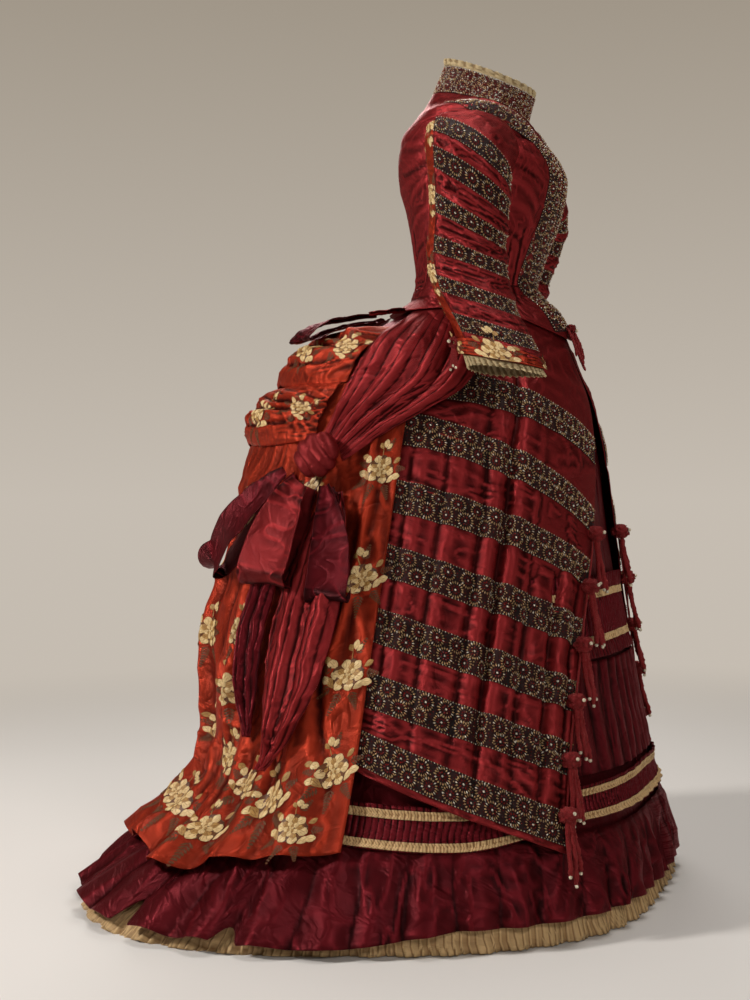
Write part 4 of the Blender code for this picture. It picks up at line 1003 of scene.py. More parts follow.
@dataclass(frozen=True)
class Bodice:
    """The fitted satin bodice: fronts, sides and backs, and the beaded band round the neck and down."""

    lift: float = 0.0076
    top_lift: float = 0.0055
    front_extra: float = 0.0016
    front_fade: Pair = (32.0, 18.0)
    hip_fade: Pair = (1.01, 0.98)
    waist_fade: Pair = (1.0, 1.05)
    side_hem: float = 0.972
    point_hem: float = 0.928
    point_half_angle: float = 70.0
    waist: float = 1.03
    side_front_seam: float = 58.0
    side_back_low: float = 126.0
    neck: float = 1.3385
    neck_tilt: float = 0.0265
    armhole_angle: float = 80.0
    armhole_half_angle: float = 27.0
    armhole_height: float = 1.235
    armhole_half_height: float = 0.052
    waist_share: float = 0.25
    tip_share: float = 0.8
    band_width: float = 0.05
    front_cut: Cut = Cut(76, 130)
    side_cut: Cut = Cut(60, 90)
    side_waist: float = 0.3
    front_crumple: Crumple = Crumple(0.0012, (0.14, 0.4), (0.03, 0.02), 3)
    back_crumple: Crumple = Crumple(0.0012, (0.14, 0.4), (0.03, 0.02), 7)
    side_extent: Pair = (0.09, 0.23)
    band_steps: int = 6

    @property
    def shoulder_tip(self) -> float:
        """Height of the armhole's top."""
        return self.armhole_height + self.armhole_half_height

    @property
    def underarm(self) -> float:
        """Height at which the side piece's seams reach the armhole."""
        share = (self.armhole_angle - self.side_front_seam) / self.armhole_half_angle
        return self.armhole_height - self.armhole_half_height * math.sqrt(1 - share * share)

    def hem_height(self, angle: Array) -> Array:
        """Height of the lower edge, which dips to a point at the centre front."""
        share = np.cos(np.radians(90 * np.minimum(np.abs(angle) / self.point_half_angle, 1.0)))
        return self.side_hem - (self.side_hem - self.point_hem) * np.maximum(share, 0.0) ** 2

    def neck_height(self, angle: Array) -> Array:
        """Height of the neck seam, which slopes down to the front."""
        return self.neck - self.neck_tilt * np.cos(np.radians(angle))

    def lift_at(self, angle: Array, height: Array) -> Array:
        """Distance from the form to the bodice's right side."""
        front = self.front_extra * ease(*self.front_fade, np.abs(angle)) * ease(*self.hip_fade, height)
        top = (self.top_lift - self.lift) * ease(*self.waist_fade, height)
        return self.lift + front + top + CLOTH

    def armhole_reach(self, height: Array) -> Array:
        """How far the armhole reaches before and behind its middle, in degrees."""
        share = (np.minimum(height, self.shoulder_tip) - self.armhole_height) / self.armhole_half_height
        return self.armhole_half_angle * np.sqrt(np.maximum(0.0, 1 - share * share))

    def side_back_seam(self, height: Array) -> Array:
        """Angle of the side-back seam, which slants toward the back at the waist."""
        high = 2 * self.armhole_angle - self.side_front_seam
        return high + (self.side_back_low - high) * ease(self.underarm, self.waist, height)

    def height_at(self, v: Array, angle: Array) -> Array:
        """Height of a share up a front or back panel."""
        hem, neck = self.hem_height(angle), self.neck_height(angle)
        low = hem + (v / self.waist_share) * (self.waist - hem)
        middle_share = (v - self.waist_share) / (self.tip_share - self.waist_share)
        middle = self.waist + middle_share * (self.shoulder_tip - self.waist)
        high = self.shoulder_tip + (v - self.tip_share) / (1 - self.tip_share) * (neck - self.shoulder_tip)
        return np.where(v < self.waist_share, low, np.where(v < self.tip_share, middle, high))

    def half_seam(self, height: Array) -> Array:
        """Half a seam's gap as an angle."""
        return np.degrees(0.7 * SEAM / FORM.reach(np.full_like(height, 90.0), height))

    def front(self, side: Side, u: Array, v: Array, out: Array) -> Array:
        """A front's right side, from the centre front to the side-front seam and the armhole."""
        height = self.height_at(v, np.full_like(v, 30.0))
        reach = self.armhole_reach(height)
        stop = np.where(height > self.underarm, self.armhole_angle - reach, self.side_front_seam)
        gap = self.half_seam(height)
        angle = gap + u * (stop - 2 * gap)
        height = self.height_at(v, angle)
        drawn = self.front_crumple
        rise = creased(FRONT_CREASES, drawn.extent, u, v) + drawn.rise(u, v)
        rise = rise * ease(0.0, 0.06, 1 - u) * ease(0.0, 0.03, v)
        return FORM.cloth(side.value * angle, height, self.lift_at(angle, height) + rise + out)

    def back(self, side: Side, u: Array, v: Array, out: Array) -> Array:
        """A back's right side, from the side-back seam and the armhole to the centre back."""
        height = self.height_at(v, np.full_like(v, 180.0))
        seam, reach = self.side_back_seam(height), self.armhole_reach(height)
        start = np.where(height > self.underarm, self.armhole_angle + reach, seam)
        gap = self.half_seam(height)
        angle = start + gap + u * (180 - 2 * gap - start)
        height = self.height_at(v, angle)
        drawn = self.back_crumple
        rise = creased(BACK_CREASES, drawn.extent, u, v) + drawn.rise(u, v)
        rise = rise * plateau(0.0, 0.06, 0.97, 1.0, u) * ease(0.0, 0.03, v)
        return FORM.cloth(side.value * angle, height, self.lift_at(angle, height) + rise + out)

    def side(self, side: Side, u: Array, v: Array, out: Array) -> Array:
        """The side piece under an arm, whose top is the bottom of the armhole."""
        share, above = v / self.side_waist, (v - self.side_waist) / (1 - self.side_waist)
        height = np.where(
            v < self.side_waist,
            self.side_hem + share * (self.waist - self.side_hem),
            self.waist + above * (self.underarm - self.waist),
        )
        gap, seam = self.half_seam(height), self.side_back_seam(height)
        angle = self.side_front_seam + gap + u * (seam - self.side_front_seam - 2 * gap)
        across = np.minimum(np.abs(angle - self.armhole_angle) / self.armhole_half_angle, 1.0)
        top = self.armhole_height - self.armhole_half_height * np.sqrt(1 - across**2)
        lowered = self.waist + (height - self.waist) * (top - self.waist) / (self.underarm - self.waist)
        height = np.where(height > self.waist, np.minimum(height, lowered), height)
        hem = self.hem_height(angle)
        height = np.where(height <= self.waist, hem + share * (self.waist - hem), height)
        rise = creased(SIDE_CREASES, self.side_extent, u, v) * np.sin(np.pi * u) ** 0.5
        return FORM.cloth(side.value * angle, height, self.lift_at(angle, height) + rise + out)

    def band(self, side: Side, u: Array, v: Array, out: Array) -> Array:
        """The beaded band's net, from behind the shoulder round the neck and down the front."""
        def middle(at: Array) -> tuple[Array, Array]:
            return read(FRONT_BAND, "angle", at), read(FRONT_BAND, "height", at)

        angle, height = middle(u)
        ahead, behind = middle(np.minimum(u + 0.02, 1.0)), middle(np.maximum(u - 0.02, 0.0))
        offset = (v - 0.5) * self.band_width
        for _ in range(self.band_steps):
            per_angle = np.radians(FORM.reach(angle, height))
            up = FORM.point(angle, height + 0.001) - FORM.point(angle, height - 0.001)
            per_height = np.linalg.norm(up, axis=-1) / 0.002
            run_x, run_y = (ahead[0] - behind[0]) * per_angle, (ahead[1] - behind[1]) * per_height
            run = np.maximum(np.hypot(run_x, run_y), 1e-9)
            angle = angle - offset / self.band_steps * run_y / run / per_angle
            height = height + offset / self.band_steps * run_x / run / per_height
        return FORM.cloth(side.value * angle, height, self.lift_at(angle, height) + NET_LIFT + out)

    def build(self) -> None:
        """Builds the bodice's panels and its beaded bands."""
        for side in Side:
            for name, cut, surface, rests in (
                ("bodice_front", self.front_cut, self.front, "overskirt"),
                ("bodice_back", self.front_cut, self.back, "swag"),
                ("bodice_side", self.side_cut, self.side, "swag"),
            ):
                node = f"{name}_{side.label}"
                cloth_piece(
                    node + "_satin", CRIMSON_SATIN, cut, partial(surface, side),
                    [node],
                )
            beaded_bands(
                f"bodice_band_{side.label}", [partial(self.band, side)], TWO_ROWS, 220,
            )


FRONT_CREASES = table(
    Crease,
    (0.97, 0.6, 0.52, 0.5, 0.007, 0.0034, 0.006), (0.98, 0.64, 0.5, 0.58, 0.0055, -0.0026, 0.004),
    (0.98, 0.69, 0.55, 0.66, 0.006, 0.003, -0.003), (0.97, 0.74, 0.6, 0.76, 0.006, -0.0024, -0.004),
    (0.96, 0.52, 0.5, 0.43, 0.009, 0.003, 0.008), (0.95, 0.42, 0.55, 0.36, 0.006, -0.0022, 0.004),
    (0.62, 0.08, 0.66, 0.44, 0.005, -0.0024), (0.82, 0.06, 0.84, 0.4, 0.005, -0.002),
    (0.96, 0.27, 0.45, 0.29, 0.005, 0.002, 0.003), (0.96, 0.22, 0.5, 0.21, 0.0045, -0.0018, -0.002),
    (0.95, 0.17, 0.55, 0.14, 0.005, 0.0018, -0.003),
)
BACK_CREASES = table(
    Crease,
    (0.03, 0.62, 0.46, 0.54, 0.0065, 0.003, -0.004), (0.02, 0.67, 0.5, 0.64, 0.005, -0.0024, 0.003),
    (0.03, 0.73, 0.45, 0.75, 0.006, 0.0026, 0.003), (0.05, 0.52, 0.6, 0.4, 0.007, 0.0026, -0.006),
    (0.06, 0.4, 0.5, 0.33, 0.0055, -0.0022, -0.003), (0.08, 0.27, 0.8, 0.28, 0.005, 0.002, 0.003),
    (0.1, 0.22, 0.75, 0.2, 0.0045, -0.0018, -0.002), (0.45, 0.05, 0.42, 0.5, 0.0045, -0.002),
)
SIDE_CREASES = table(
    Crease,
    (0.05, 0.9, 0.95, 0.72, 0.006, 0.0026, 0.005), (0.1, 0.76, 0.9, 0.62, 0.005, -0.0022, 0.004),
    (0.1, 0.58, 0.9, 0.5, 0.006, 0.0022, -0.004), (0.1, 0.42, 0.9, 0.4, 0.005, -0.0022, 0.002),
    (0.1, 0.32, 0.9, 0.33, 0.0045, 0.0022, 0.002), (0.1, 0.2, 0.9, 0.22, 0.0045, -0.0016, -0.002),
)


class BandPlace(NamedTuple):
    """A step along the bodice's beaded band: its middle's angle and height."""

    along: float
    angle: float
    height: float


FRONT_BAND = table(
    BandPlace,
    (0.0, 95.0, 1.315), (0.089, 70.0, 1.302), (0.221, 45.0, 1.284), (0.313, 27.0, 1.262),
    (0.39, 17.5, 1.235), (0.463, 13.0, 1.2), (0.565, 13.4, 1.15), (0.707, 15.6, 1.08),
    (0.809, 17.0, 1.03), (0.87, 14.0, 1.0), (0.931, 10.8, 0.97), (1.0, 9.0, 0.939),
)


@dataclass(frozen=True)
class Collar:
    """The standing collar, thick with beadwork, and the lace that stands out of it."""

    bodice: Bodice
    middle: float = -0.036
    half_depth: float = 0.078
    half_width: float = 0.062
    height: float = 1.386
    tilt: float = 0.032
    thickness: float = 0.004
    seat: float = 0.0017
    frill_height: float = 0.011
    frill_waves: int = 28
    parting: float = 0.3
    seed_pitch: float = 0.0029
    seed_span: tuple[float, float, int] = (0.04, 0.96, 15)
    seed_finishes: tuple[int, ...] = (0, 0, 0, 1, 2)
    rows: tuple[float, ...] = (0.27, 0.73)
    cut: Cut = Cut(200, 12, thickness=0.0012)

    def edge(self, angle: Array, out: Array) -> Array:
        """Points of the collar's top edge, out from its wrong side."""
        turn = np.radians(angle)
        return np.stack([
            -(self.half_width + out) * np.sin(turn),
            self.middle - (self.half_depth + out) * np.cos(turn),
            self.height - self.tilt * np.cos(turn) - SHOULDER_HEIGHT + 0 * out,
        ], axis=-1)

    def wall(self, u: Array, v: Array, out: Array) -> Array:
        """The collar's right side, from its foot up."""
        angle = self.parting + u * (360 - 2 * self.parting)
        deep = self.thickness + out - BEAD_RISE
        foot = FORM.cloth(angle, self.bodice.neck_height(angle), self.bodice.top_lift + deep)
        foot = foot + np.array([0.0, 0.0, self.seat])
        share = v[..., None]
        return foot * (1 - share) + self.edge(angle, deep) * share

    def frill(self, u: Array, v: Array, out: Array) -> Array:
        """The lace frill, whose waves open toward its edge."""
        wave = 0.0016 * np.cos(2 * np.pi * self.frill_waves * u) + 0.0008 * soft_noise(60 * u, 3 * v, 21)
        points = self.edge(360 * u, self.thickness / 2 + 0.0006 + out + wave * v)
        scallop = 1 + 0.1 * np.abs(np.sin(np.pi * 2 * self.frill_waves * u)) * v
        points[..., 2] += SEAT + self.frill_height * v * scallop
        return points

    def build(self) -> None:
        """Builds the collar, its beads and its lace."""
        cloth_piece("collar_net", BEADED_NET, self.cut, self.wall, ["collar"])
        beads = BEADWORK.on_band(self.wall, self.rows)
        seeds = []
        for row, along in enumerate(np.linspace(*self.seed_span)):
            at = evenly(self.wall, float(along), self.seed_pitch, 0.5 * (row % 2))
            seeds += [Place(float(u), float(along)) for u in at]
        chosen = np.random.default_rng(5).integers(0, len(self.seed_finishes), len(seeds))
        for finish in range(len(BEAD_FINISHES)):
            places = [place for place, at in zip(seeds, chosen) if self.seed_finishes[at] == finish]
            beads.append(laid_mesh(BEADWORK.seed(finish), self.wall, places))
        joined_piece("collar_beads", beads, BEAD_FINISHES)
        cut = Cut(12 * self.frill_waves, 8, ring=True, thickness=LACE)
        cloth_piece(
            "collar_lace", CREAM_LACE, cut, self.frill, ["collar_frill"]
        )


class SleeveRing(NamedTuple):
    """A level of a sleeve: its middle, half sizes, and its pitch and roll in degrees."""

    along: float
    out: float
    middle: float
    height: float
    half_width: float
    half_depth: float
    pitch: float
    roll: float


SLEEVE = table(
    SleeveRing,
    (0.0, 0.172, -0.055, 1.228, 0.053, 0.069, 8.0, 12.0),
    (0.1, 0.187, -0.056, 1.22, 0.055, 0.074, 22.0, 40.0),
    (0.2, 0.198, -0.057, 1.195, 0.053, 0.08, 31.0, 66.0),
    (0.34, 0.197, -0.057, 1.14, 0.05, 0.0765, 33.0, 84.0),
    (0.48, 0.203, -0.058, 1.085, 0.048, 0.068, 27.0, 90.0),
    (0.62, 0.213, -0.062, 1.03, 0.049, 0.07, 20.0, 90.0),
    (0.76, 0.227, -0.08, 0.975, 0.05, 0.0725, 19.0, 90.0),
    (0.9, 0.249, -0.117, 0.915, 0.048, 0.07, 16.0, 90.0),
    (1.0, 0.268, -0.14, 0.872, 0.045, 0.062, 11.0, 90.0),
)
SLEEVE_CREASES = table(
    Crease,
    (0.02, 0.52, 0.45, 0.49, 0.006, 0.0036, 0.004), (0.04, 0.48, 0.35, 0.46, 0.0045, -0.0034, 0.003),
    (0.7, 0.52, 0.98, 0.5, 0.006, 0.003, -0.003), (0.05, 0.66, 0.55, 0.69, 0.006, 0.003, -0.005),
    (0.5, 0.34, 0.95, 0.37, 0.006, 0.003, 0.005), (0.1, 0.22, 0.6, 0.2, 0.006, 0.0026, 0.004),
    (0.3, 0.8, 0.9, 0.83, 0.006, 0.003, 0.004), (0.15, 0.07, 0.8, 0.06, 0.006, 0.0026, 0.004),
)


@dataclass(frozen=True)
class Sleeve:
    """A sleeve: satin above with six beaded bands, brocade beneath, and its cuff and lace."""

    side: Side
    bodice: Bodice
    bands: tuple[float, ...] = (0.15, 0.27, 0.42, 0.572, 0.737, 0.884)
    band_half: float = 0.033
    join: float = 0.12
    left_back: float = 0.056
    left_bend: Pair = (0.05, 0.75)
    back_seam: float = 125.0
    front_seam: float = -60.0
    lap: float = 6.0
    inset: float = 0.0022
    armhole_seat: float = 0.0026
    cuff_low: float = 0.998
    cuff_flap: float = 0.066
    cuff_edge: float = 0.022
    cuff_peak: float = 80.0
    cuff_inset: float = 0.0045
    frill_waves: int = 36
    frill_short: float = 0.014
    frill_long: float = 0.034
    frill_peak: float = 215.0
    crumple: Crumple = Crumple(0.0058, (0.19, 0.42), (0.032, 0.014), 11)
    under_crumple: Crumple = Crumple(0.0034, (0.19, 0.42), (0.05, 0.022), 17)
    under_sink: float = 0.0012
    cuff_crumple: Crumple = Crumple(0.0016, (0.34, 0.05), (0.03, 0.02), 19)
    upper_cut: Cut = Cut(76, 150)
    under_cut: Cut = Cut(60, 120)

    def armhole(self, turn: Array, out: Array) -> Array:
        """Points round the armhole's edge, on the bodice's right side."""
        hole = self.bodice
        reach = FORM.reach(np.array([hole.armhole_angle]), np.array([hole.armhole_height]))[0]
        spread = hole.armhole_half_angle + np.degrees(out / reach)
        angle = hole.armhole_angle - spread * np.cos(np.radians(turn))
        height = hole.armhole_height + (hole.armhole_half_height + out) * np.sin(np.radians(turn))
        return FORM.cloth(self.side.value * angle, height, hole.top_lift + CLOTH + self.armhole_seat)

    def point(self, along: Array, turn: Array, out: Array) -> Array:
        """Points of the sleeve: a turn is 0 at its front, 90 on its outer side and 180 at its back."""
        along, turn, out = np.broadcast_arrays(along, turn, out)
        reach, middle, height, half_width, half_depth, pitch, roll = (
            read(SLEEVE, column, along) for column in SleeveRing._fields[1:]
        )
        if self.side is Side.LEFT:
            middle = middle + self.left_back * ease(*self.left_bend, along)
        pitch, roll, around = np.radians(pitch), np.radians(roll), np.radians(turn)
        sign = self.side.value
        forward = (half_depth + out) * np.cos(around)
        outward = (half_width + out) * np.sin(around)
        loose = np.stack([
            -sign * (reach + np.sin(roll) * outward),
            middle - np.cos(pitch) * forward,
            height - SHOULDER_HEIGHT - np.sin(pitch) * forward + np.cos(roll) * outward,
        ], axis=-1)
        share = ease(0, self.join, along)[..., None]
        return self.armhole(turn, out) * (1 - share) + loose * share

    def upper(self, u: Array, v: Array, out: Array) -> Array:
        """The satin's right side, whose crumples stand between the bands."""
        turn = self.front_seam + u * (self.back_seam - self.front_seam)
        free = np.ones_like(v)
        for band in self.bands:
            free = free * ease(0.7 * self.band_half, 1.35 * self.band_half, np.abs(v - band))
        ends = plateau(0.0, 0.05, 0.97, 1.0, v) * plateau(0.0, 0.05, 0.95, 1.0, u)
        rise = creased(SLEEVE_CREASES, self.crumple.extent, u, v) + self.crumple.rise(u, v)
        return self.point(v, turn, CLOTH + rise * ends * free + 0.0006 * free + out)

    def band(self, middle: float, u: Array, v: Array, out: Array) -> Array:
        """A beaded band's net, round the satin."""
        return self.upper(u, middle + self.band_half * (2 * v - 1), NET_LIFT + out)

    def under(self, u: Array, v: Array, out: Array) -> Array:
        """The brocade's right side, whose edges lie inside the satin's."""
        start, stop = self.back_seam - self.lap, 360 + self.front_seam + self.lap
        rise = self.under_crumple.rise(u, v) - self.under_sink
        rise = rise * plateau(0.0, 0.12, 0.88, 1.0, u) * plateau(0.0, 0.05, 0.93, 1.0, v)
        return self.point(v, start + u * (stop - start), -self.inset + rise + out)

    @staticmethod
    def toward(turn: Array, peak: float) -> Array:
        """How near a turn is to a peak, from 1 there to 0 opposite."""
        return (0.5 + 0.5 * np.cos(np.radians(turn - peak))) ** 2

    def cuff(self, u: Array, v: Array, out: Array) -> Array:
        """The turned-back cuff's right side, from its peaked edge down."""
        turn = 360 * u
        peak = self.toward(turn, self.cuff_peak)
        height = self.cuff_edge + (self.cuff_flap - self.cuff_edge) * peak
        roll = 0.0016 * ease(0.25, 0.0, v) + 0.001 * ease(0.85, 1.0, v)
        rise = self.cuff_crumple.rise(u, v) * np.sin(np.pi * v)
        lift = self.cuff_inset + CLOTH + roll + rise
        return self.point(self.cuff_low - height * (1 - v), turn, lift + out)

    def frill(self, u: Array, v: Array, out: Array) -> Array:
        """The lace below the cuff, deepest at its back."""
        turn = 360 * u
        peak = self.toward(turn, self.frill_peak)
        scallop = 1 - 0.12 * np.abs(np.sin(np.pi * self.frill_waves * u)) * v
        depth = (self.frill_short + (self.frill_long - self.frill_short) * peak) * scallop
        wave = 0.002 * np.cos(2 * np.pi * self.frill_waves * u) + 0.0014 * soft_noise(90 * u, 4 * v, 23)
        above, end = SLEEVE[-2], SLEEVE[-1]
        aside = -self.side.value * (end.out - above.out)
        run = np.array([aside, end.middle - above.middle, end.height - above.height])
        foot = self.point(np.ones_like(u), turn, CLOTH / 2 + 0.0006 + wave * v + out)
        return foot + unit(run) * (1.5 * SEAT + depth * v)[..., None]

    def build(self) -> None:
        """Builds the sleeve, its bands, its cuff and its lace."""
        side = self.side.label
        satin = f"upper_sleeve_{side}_satin"
        cloth_piece(
            satin, CRIMSON_SATIN, self.upper_cut, self.upper,
            [f"upper_sleeve_{side}"],
        )
        cloth_piece(
            f"under_sleeve_{side}_brocade", ROSE_BROCADE, self.under_cut, self.under,
            [f"under_sleeve_{side}"],
        )
        nets = [partial(self.band, middle) for middle in self.bands]
        beaded_bands(f"sleeve_band_{side}", nets, ONE_ROW, 90)
        cut = Cut(140, 24, ring=True)
        cuff = f"cuff_{side}_brocade"
        cloth_piece(cuff, ROSE_BROCADE, cut, self.cuff, [f"cuff_{side}"])
        cut = Cut(12 * self.frill_waves, 10, ring=True, thickness=LACE)
        lace = f"cuff_{side}_lace"
        cloth_piece(lace, CREAM_LACE, cut, self.frill, [f"cuff_frill_{side}"])


class BandRow(NamedTuple):
    """Where a shirred band's lower and upper edges lie at an angle from the front."""

    angle: float
    low: float
    high: float


@dataclass(frozen=True)
class ShirredBand:
    """A strip of the underskirt gathered along its middle, with cream-bound edges standing out."""

    name: str
    rows: tuple[BandRow, ...]
    waves: int
    flare: float
    seat: float
    gathers: int
    cut: Cut
    bindings: Pair
    puffed: float = 0.005
    thickness: float = 0.002
    binding: float = 0.0115
    binding_lift: float = 0.001
    tuck: float = 0.0024
    tuck_width: float = 0.07

    def surface(self, u: Array, v: Array, out: Array) -> Array:
        """The strip's right side: frills at both edges and fine gathers between."""
        reach = self.rows[-1].angle
        angle = reach * (2 * u - 1)
        low, high = read(self.rows, "low", np.abs(angle)), read(self.rows, "high", np.abs(angle))
        height = low + v * (high - low)
        edge = np.abs(2 * v - 1)
        sway = 1 + 0.35 * np.cos(2 * np.pi * self.waves * u)
        stand = self.flare * sway * edge**2
        warp = u + 0.35 / self.gathers * soft_noise(14 * u, 3 * v, 31)
        fine = np.abs(np.cos(np.pi * self.gathers * warp)) ** 0.8
        gather = self.puffed * 0.5 * fine * (0.35 + 0.65 * np.sin(np.pi * v))
        uneven = Crumple(0.0018, (reach * 0.012, high[0] - low[0]), (0.012, 0.02), 33).rise(u, v)
        sewn = np.minimum(np.abs(v - self.bindings[0]), np.abs(v - self.bindings[1]))
        tuck = -self.tuck * np.exp(-((sewn / self.tuck_width) ** 2))
        lift = self.seat + self.thickness + stand + gather + uneven + tuck
        return FORM.cloth(angle, height, lift + out)

    def strip(self, middle: float, u: Array, v: Array, out: Array) -> Array:
        """A cream strip over the gathers, its middle at a share of the band's height."""
        share = self.binding / (self.rows[0].high - self.rows[0].low)
        turns = 2.0 * self.gathers * u + 0.5 * soft_noise(40 * u, 2 * v, 35)
        fine = 0.001 * np.abs(np.cos(np.pi * turns))
        return self.surface(u, middle + share * (v - 0.5), self.binding_lift + fine + out)

    def build(self) -> None:
        """Builds the strip and its two bindings."""
        strip = f"{self.name}_taffeta"
        cloth_piece(strip, BURGUNDY_TAFFETA, self.cut, self.surface, [self.name])
        cut = Cut(self.cut.columns, 6, thickness=0.0008)
        for word, middle in zip(("low", "high"), self.bindings):
            binding = f"{self.name}_strip_{word}"
            cloth_piece(binding, CREAM_SILK, cut, partial(self.strip, middle))


@dataclass(frozen=True)
class Underskirt:
    """The burgundy underskirt with its flounce, its hem frill, its shirred bands and its pleats."""

    low: float = 0.138
    inset: float = 0.0026
    flounce_pleats: int = 40
    flounce_low: float = 0.034
    flounce_high: float = 0.15
    flounce_flare: float = 0.0065
    flounce_phase: float = 1 / 6
    flounce_drop: float = 0.028
    flounce_peek: float = 0.036
    frill_waves: int = 52
    frill_low: float = 0.0006
    frill_high: float = 0.04
    frill_lift: float = -0.003
    frill_flare: float = 0.006
    frill_pleats: int = 240
    pleat_count: int = 14
    pleat_depth: float = 0.003
    pleat_reach: float = 53.0
    pleat_heights: Pair = (0.23, 0.398)
    skirt_crumple: Crumple = Crumple(0.002, (1.4, 0.85), (0.05, 0.09), 41)
    skirt_sink: float = 0.0016
    flounce_crumple: Crumple = Crumple(0.011, (2.8, 0.12), (0.05, 0.08), 45)
    frill_crumple: Crumple = Crumple(0.0065, (3.2, 0.04), (0.028, 0.02), 49)
    pleat_crumple: Crumple = Crumple(0.002, (0.5, 0.17), (0.018, 0.07), 53)

    @staticmethod
    def behind(u: Array) -> Array:
        """Where a cloth lies behind the wearer, on the train's side."""
        return plateau(0.2, 0.28, 0.72, 0.8, u)

    def skirt(self, u: Array, v: Array, out: Array) -> Array:
        """The underskirt's right side, all round."""
        height = self.low + v * (WAIST_HEIGHT - self.low)
        seat = -self.inset * ease(0.46, 0.2, height)
        rise = self.skirt_crumple.rise(u, v) - self.skirt_sink
        return FORM.cloth(360 * u, height, seat + np.minimum(rise, 0.0) + out)

    def flounce(self, u: Array, v: Array, out: Array) -> Array:
        """The flounce's right side, whose soft pleats open toward its hem."""
        behind = self.behind(u)
        peeks = np.clip(2.0 * soft_noise(84 * u + 3.0, np.zeros_like(u), 55) - 0.5, 0.0, 1.0)
        low = self.flounce_low - behind * (self.flounce_drop - self.flounce_peek * peeks)
        height = low + v * (self.flounce_high - low)
        flare = self.flounce_flare * (0.15 + 0.85 * (1 - v))
        turns = self.flounce_pleats * u + self.flounce_phase + 0.1 * soft_noise(30 * u, 2 * v, 43)
        pleat = (0.5 + 0.5 * np.cos(2 * np.pi * turns)) ** 0.7
        small = self.flounce_crumple.rise(u, v) * ease(1.0, 0.8, v) + 0.01 * behind * (1 - v)
        return FORM.cloth(360 * u, height, SEAT + CLOTH + flare * 2 * pleat + small + out)

    def frill(self, u: Array, v: Array, out: Array) -> Array:
        """The hem frill's right side, in fine knife pleats that crumple behind."""
        height = self.frill_low + v * (self.frill_high - self.frill_low)
        wave = 0.004 * (1 - v) * np.cos(2 * np.pi * self.frill_waves * u)
        turns = self.frill_pleats * u + 0.35 * soft_noise(60 * u, 2 * v, 47)
        knife = 0.005 * (turns - np.floor(turns)) * (0.3 + 0.7 * (1 - v))
        behind = self.behind(u)
        crushed = behind * (self.frill_crumple.rise(u, v) - 0.012 * (1 - v))
        lift = self.frill_lift + self.frill_flare * (1 - v) + 0.0015 + wave + knife + crushed
        return FORM.cloth(360 * u, height, lift + out)

    def pleats(self, u: Array, v: Array, out: Array) -> Array:
        """The pleated drop between the two bands at the front."""
        low, high = self.pleat_heights
        turns = self.pleat_count * u + 0.12 * soft_noise(9 * u, 3 * v, 51)
        wave = self.pleat_depth * (1 + np.cos(2 * np.pi * turns))
        lift = SEAT + 0.002 + wave + self.pleat_crumple.rise(u, v)
        return FORM.cloth(self.pleat_reach * (2 * u - 1), low + v * (high - low), lift + out)

    def build(self) -> None:
        """Builds the underskirt and everything sewn to it."""
        taffeta, gathered = BURGUNDY_TAFFETA, Held.GATHERED
        waist = ["bodice_front_right_satin", "bodice_back_right_satin"]
        skirt, flounce = "underskirt_taffeta", "flounce_taffeta"
        for name, finish, cut, surface, held, rests, node in (
            (skirt, taffeta, Cut(150, 50, True), self.skirt, Held.HUNG, waist, "underskirt"),
            (flounce, taffeta, Cut(900, 15, True), self.flounce, gathered, [skirt], "flounce"),
            ("hem_frill_silk", CREAM_SILK, Cut(1440, 6, True, 0.0009), self.frill, gathered, [flounce],
             "hem_frill"),
            ("front_pleats_taffeta", taffeta, Cut(280, 30), self.pleats, gathered, [skirt],
             "front_pleats"),
        ):
            cloth_piece(name, finish, cut, surface, [node])
        for band in (LOWER_BAND, UPPER_BAND):
            band.build()


LOWER_BAND = ShirredBand(
    "lower_band",
    (
        BandRow(0.0, 0.165, 0.225),
        BandRow(45.0, 0.165, 0.214),
        BandRow(75.0, 0.138, 0.2),
        BandRow(100.0, 0.145, 0.206),
    ),
    26, 0.006, 0.0034, 150, Cut(900, 16), (0.12, 0.8),
)
UPPER_BAND = ShirredBand(
    "upper_band",
    (BandRow(0.0, 0.405, 0.537), BandRow(56.0, 0.4, 0.53)),
    9, 0.006, 0.001, 52, Cut(360, 26), (0.22, 0.76), 0.009,
)


class PanelEdge(NamedTuple):
    """How far from the centre front an overskirt panel's front edge is at a height."""

    height: float
    angle: float


class PanelBand(NamedTuple):
    """A beaded band's upper edge at the panel's back, and how it falls toward the front."""

    height: float
    slope: float
    bend: float


